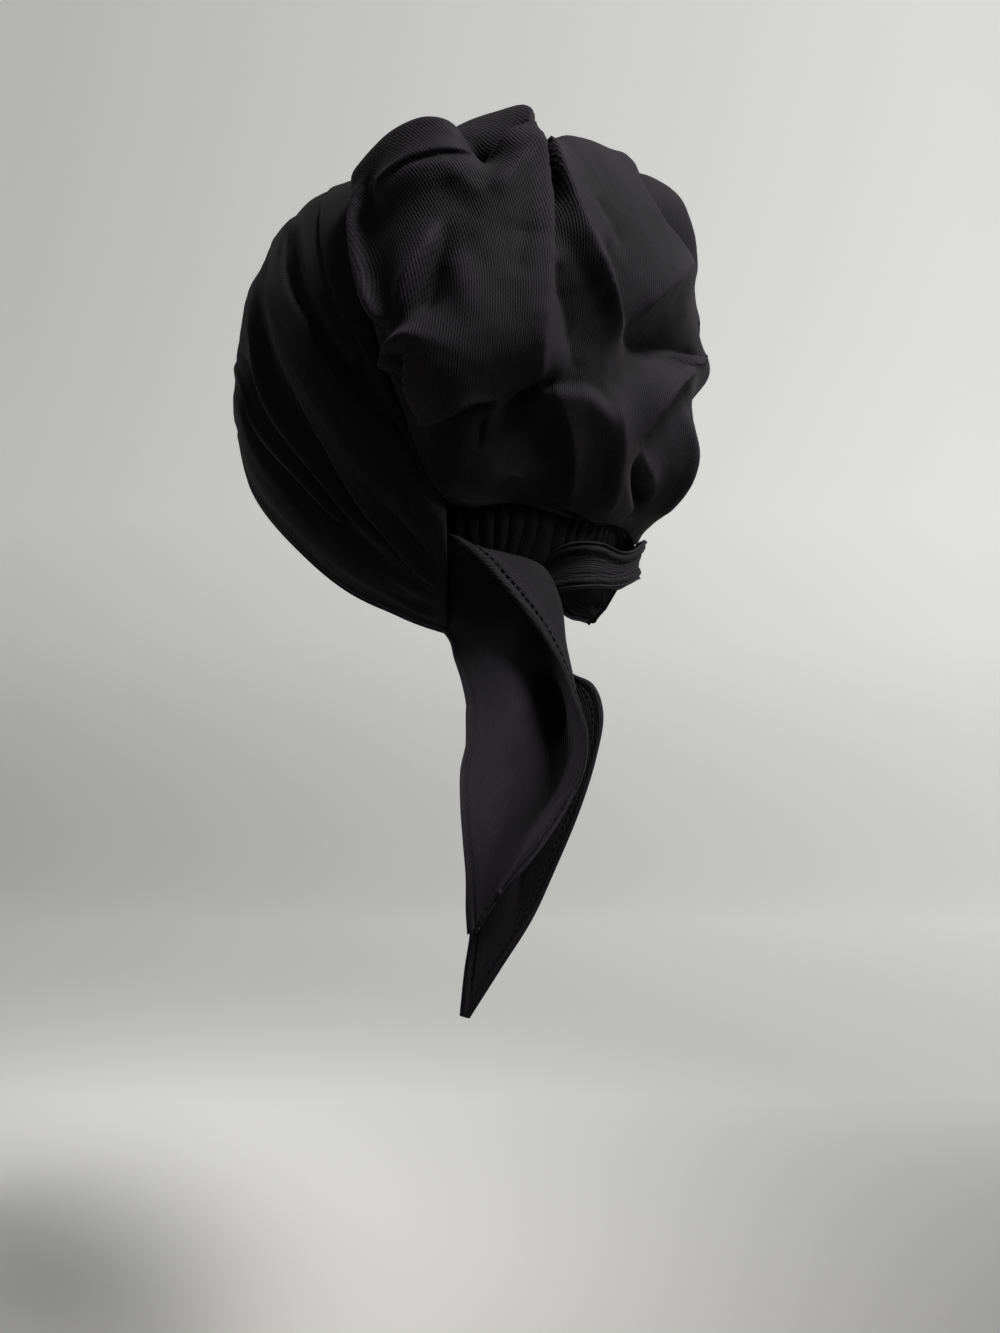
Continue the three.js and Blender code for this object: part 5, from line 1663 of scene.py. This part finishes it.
@dataclass
class Tie:
    """One tie end: a tapering strip with narrow hems, twisted as it hangs.

    lines run along it side by side, from one edge to the other. length and width are its cut size in mm,
    and taper the share of that oblong which its cloth fills. hems holds, for each of its edges that is
    sewn, whether it is the one along the last of the lines. A lapel shows the cloth's back beyond its
    middle. The stitches begin sewn_in rows from its root and end where it is less than blunt hems wide.
    """

    name: str
    node: str
    material: bpy.types.Material
    thread: bpy.types.Material
    lines: list[Array]
    steps: tuple[int, int]
    length: float
    width: float
    taper: float
    hems: tuple[bool, ...] = (True,)
    lapel: bool = True
    hem: Hem = Hem(6.0, 0.55, 4.8)
    sewn_in: int = 6
    blunt: float = 2.2
    wall: float = 1.1
    crumple: tuple[Spot, ...] = ((0.3, 12, 4), (0.2, 5, 5))
    seed: int = 41

    def cloth(self) -> Cloth:
        """Works out the tie's outer face.

        Returns:
            The face's points, with their places on the cut cloth.
        """
        along, across = (resolution(n) for n in self.steps)
        places = np.linspace(0, 1, along + 1)
        ribs = np.stack([smooth_line(line, places) for line in self.lines])
        points = np.moveaxis(smooth_line(ribs, np.linspace(0, 1, across + 1)), 0, 1)
        inset = arc_lengths(points, 1)
        wide = inset[:, -1:]
        run = arc_lengths(points, 0).mean(axis=1, keepdims=True)
        cut = np.stack([inset - wide / 2, np.broadcast_to(run, inset.shape)], axis=-1)
        edge = np.minimum(inset, wide - inset)
        relief = self.hem.relief(edge)
        if self.lapel:
            relief = np.where(inset > wide / 2, -relief, relief)
        relief = relief + crumpled(inset.shape, self.seed, self.crumple) * smooth_step(0, 2, edge)
        fade = np.minimum(smooth_step(0, 4, run), smooth_step(0, 2, wide / 4))
        return Cloth(points, cut).raised(relief * fade)

    def hem_stitches(self, cloth: Cloth, last: bool, inner: bool) -> tuple[Array, Array]:
        """The line of stitches along one of the tie's hems.

        Args:
            cloth: the tie's outer face.
            last: whether it is the hem on the last side across, not the first.
            inner: whether the line is on the inner face.

        Returns:
            The line's points and the cloth's normals there.
        """
        points, normals = cloth.points, cloth.normals()
        if last:
            points, normals = points[:, ::-1], normals[:, ::-1]
        inset = arc_lengths(points, 1)
        rows = np.nonzero(inset[:, -1] > self.blunt * self.hem.width)[0][self.sewn_in :]
        line = np.array([read_line(inset[k], points[k], self.hem.stitch) for k in rows])
        out = np.array([read_line(inset[k], normals[k], self.hem.stitch) for k in rows])
        return (line - out * self.wall, -out) if inner else (line, out)

    def build(self) -> list[bpy.types.Object]:
        """Makes the tie and sews its hems.

        Returns:
            The stitches and the tie.
        """
        cloth = self.cloth()
        piece = cloth.build(self.name, self.wall)
        sides = [(last, inner) for last in self.hems for inner in (False, True)]
        thread = Seamline().sew(f"{self.name}_stitches", [self.hem_stitches(cloth, *side) for side in sides])
        dress(thread, self.thread)
        dress(piece, self.material)
        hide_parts(self.node)
        return [thread, piece]


def left_tie(material: bpy.types.Material, thread: bpy.types.Material) -> Tie:
    """Lays out the tie in front, whose hemmed side turns over on itself.

    Args:
        material: the cloth's material.
        thread: the stitches' material.

    Returns:
        The tie.
    """
    roots = band_end(1, np.linspace(*LEFT_ROOT, len(LEFT_TIE)))
    lines = [np.concatenate([[root], tie_line(line)]) for root, line in zip(roots, LEFT_TIE.values())]
    return Tie("lapelled_left_tie", "left_tie", material, thread, lines, (230, 76), 175, 74, 0.57)


def right_tie(material: bpy.types.Material, thread: bpy.types.Material) -> Tie:
    """Lays out the tie behind, which loops out under the bag before it hangs.

    Args:
        material: the cloth's material.
        thread: the stitches' material.

    Returns:
        The tie.
    """
    upper, lower = tie_line(RIGHT_TIE["upper"]), tie_line(RIGHT_TIE["lower"])
    across = np.cross(lower - upper, np.gradient(upper, axis=0))
    middle = (upper + lower) / 2 + unit(across) * np.array(RIGHT_BOW, float)[:, None]
    lines = (lower, middle, upper)
    roots = band_end(-1, np.linspace(*RIGHT_ROOT, len(lines)))
    lines = [np.concatenate([[root], line]) for root, line in zip(roots, lines)]
    return Tie(
        "looped_right_tie", "right_tie", material, thread, lines, (330, 56), 282, 56, 0.49,
        hems=(False, True), lapel=False, seed=51,
    )


# ---- Studio ----
@dataclass(frozen=True)
class AreaLight:
    """A square soft light: where it is and what it faces in metres, its side, power, beam and colour."""

    name: str
    place: Spot
    target: Spot
    size: float
    watts: float
    spread: float
    colour: str = "ffffff"

    def build(self) -> None:
        """Hangs the light."""
        lamp = bpy.data.lights.new(self.name, "AREA")
        lamp.size = self.size
        lamp.energy = self.watts
        lamp.spread = math.radians(self.spread)
        lamp.color = linear(self.colour)[:3]
        held = bpy.data.objects.new(self.name, lamp)
        held.location = self.place
        held.rotation_euler = (Vector(self.target) - Vector(self.place)).to_track_quat("-Z", "Y").to_euler()
        bpy.context.scene.collection.objects.link(held)


# The high window gives the folds their light, and the others fill what it leaves dark.
LIGHTS = (
    AreaLight("high window", (-0.1, 0.88, 1.13), (0.0, 0.05, 0.0), 0.5, 1.1, 30),
    AreaLight("side window", (-0.5, 0.95, 0.5), (0.0, 0.1, 0.08), 0.3, 0.1, 14),
    AreaLight("low window", (0.8, 0.02, -0.07), (0.035, 0.083, -0.106), 0.04, 0.015, 8),
    AreaLight("left bounce", (0.95, 0.35, 0.45), (0.03, 0.03, 0.0), 0.5, 0.05, 40),
)


@dataclass(frozen=True)
class Studio:
    """A plain pale floor that curves up to a wall, soft lights, and the camera behind the wearer's left.

    eye and floor are in millimetres. The rest is in metres: the floor's near edge and the foot of the wall
    by their distance beyond the middle of the room, the bend between floor and wall, the wall's top over
    the floor, and the half width of both. The paper glows a little, painted light that stands in for the
    room's light on it: from low_glow at the floor to glow at glow_top, with drift_glow added from one side
    to the other so that one side is lit more, and only beyond the bonnet, in full from far_glow on.
    """

    eye: Spot = (263.5, 329.1, -95.0)
    forward: Spot = (-0.6793, -0.7291, 0.0833)
    lens: float = 26.0
    sensor: float = 36.0
    floor: float = -420.0
    floor_colour: str = "d6d4d0"
    near_edge: float = -2.5
    wall_foot: float = 1.4
    bend: float = 0.6
    wall_top: float = 3.2
    half_width: float = 4.0
    low_glow: float = 0.3
    glow: float = 0.5
    glow_top: float = 0.5
    drift_reach: tuple[float, float] = (-1.2, 1.2)
    drift_glow: tuple[float, float] = (0.18, -0.08)
    far_glow: float = 0.5
    surround: float = 0.08

    def build(self) -> None:
        """Makes the studio."""
        self.camera()
        self.backdrop()
        self.lights()

    def camera(self) -> None:
        """Places the camera."""
        lens = bpy.data.cameras.new("camera")
        lens.sensor_fit = "VERTICAL"
        lens.sensor_height = self.sensor
        lens.lens = self.lens
        lens.clip_start = 0.01
        held = bpy.data.objects.new("camera", lens)
        held.location = Vector(self.eye) * MM
        held.rotation_euler = Vector(self.forward).to_track_quat("-Z", "Y").to_euler()
        bpy.context.scene.collection.objects.link(held)
        bpy.context.scene.camera = held

    def backdrop(self) -> None:
        """Makes the floor and the wall in one sweep, on the far side of the bonnet from the camera."""
        away = Vector((self.forward[0], self.forward[1], 0)).normalized()
        beside = Vector((-away.y, away.x, 0))
        foot, bend = self.wall_foot, self.bend
        profile = [(self.near_edge, 0.0), (foot, 0.0)]
        first_turn, bend_steps = 0.1, 14
        for turn in np.linspace(first_turn, math.pi / 2, bend_steps):
            profile.append((foot + bend * math.sin(turn), bend - bend * math.cos(turn)))
        profile.append((foot + bend, self.wall_top))
        form = bmesh.new()
        rows = []
        sides = (-self.half_width, self.half_width)
        for way, height in profile:
            middle = away * way + Vector((0, 0, self.floor * MM + height))
            rows.append([form.verts.new(middle + beside * wide) for wide in sides])
        for (a, b), (c, d) in zip(rows, rows[1:]):
            form.faces.new((a, c, d, b))
        bmesh.ops.recalc_face_normals(form, faces=form.faces)
        sweep = made_object(form, "studio_floor")
        sweep.data.materials.append(self.paper(away, beside))

    def paper(self, away: Vector, beside: Vector) -> bpy.types.Material:
        """Makes the matte backdrop paper, which glows softly on the far side of the bonnet as painted light.

        Args:
            away: the level direction from the camera to the bonnet.
            beside: the level direction across it.

        Returns:
            The material.
        """
        paper = bpy.data.materials.new("matte backdrop paper")
        paper.use_nodes = True
        tree = paper.node_tree
        shader = tree.nodes["Principled BSDF"]
        shader.inputs["Base Color"].default_value = linear(self.floor_colour)
        shader.inputs["Roughness"].default_value = 0.9
        shader.inputs["Emission Color"].default_value = linear("f6f7f4")
        # The glow is painted light: the paper is brighter higher up and to one side, as if lit by the room,
        # and dark on the near side.
        climbs = (self.floor * MM, self.glow_top)
        climb = self.spread_over(tree, Vector(UP), climbs, (self.low_glow, self.glow))
        drift = self.spread_over(tree, beside, self.drift_reach, self.drift_glow)
        far = self.spread_over(tree, away, (0.0, self.far_glow), (0.0, 1.0))
        both = add_node(tree, "ShaderNodeMath", {0: climb, 1: drift}, operation="ADD")
        glow = add_node(tree, "ShaderNodeMath", {0: both, 1: far}, operation="MULTIPLY")
        tree.links.new(glow.outputs[0], shader.inputs["Emission Strength"])
        return paper

    def spread_over(
        self, tree: bpy.types.NodeTree, way: Vector, reach: tuple[float, float], values: tuple[float, float]
    ) -> bpy.types.Node:
        """Adds nodes for a value that changes along one direction of the room.

        Args:
            tree: the material's nodes.
            way: the direction.
            reach: where the change begins and ends, in metres along it.
            values: the value at each of these.

        Returns:
            The last of the nodes.
        """
        place = add_node(tree, "ShaderNodeTexCoord").outputs["Object"]
        along = add_node(tree, "ShaderNodeVectorMath", {0: place, 1: way}, operation="DOT_PRODUCT")
        change = {"From Min": reach[0], "From Max": reach[1], "To Min": values[0], "To Max": values[1]}
        return add_node(tree, "ShaderNodeMapRange", {"Value": along.outputs["Value"], **change})

    def lights(self) -> None:
        """Hangs the lights and sets the pale surroundings."""
        for light in LIGHTS:
            light.build()
        world = bpy.data.worlds.new("pale room")
        world.use_nodes = True
        sky = world.node_tree.nodes["Background"]
        sky.inputs["Color"].default_value = linear("eef0f2")
        sky.inputs["Strength"].default_value = self.surround
        bpy.context.scene.world = world
        bpy.context.scene.view_settings.view_transform = "Standard"


def main() -> None:
    """Builds the studio and the bonnet, and reports each piece's faces."""
    logging.basicConfig(level=logging.INFO, format="%(message)s")
    Studio().build()
    twill = RibbedTwill("black ribbed twill").material()
    # The elastic's casing is the same twill with darker colours and less sheen: painted shade for the bag's
    # shadow over it.
    casing = RibbedTwill("black ruched elastic casing in painted shade", dark="040404", light="0a080a", rib=0.9, sheen=0.02)
    elastic = casing.material()
    thread = SpunThread("black sewing thread").material()
    bonnet = [FrontBand(twill), CrownBag(twill), NapeElastic(elastic)]
    for part in [*bonnet, left_tie(twill, thread), right_tie(twill, thread)]:
        for piece in part.build():
            LOG.info("%s: %d faces", piece.name, len(piece.data.polygons))


if __name__ == "__main__":
    main()
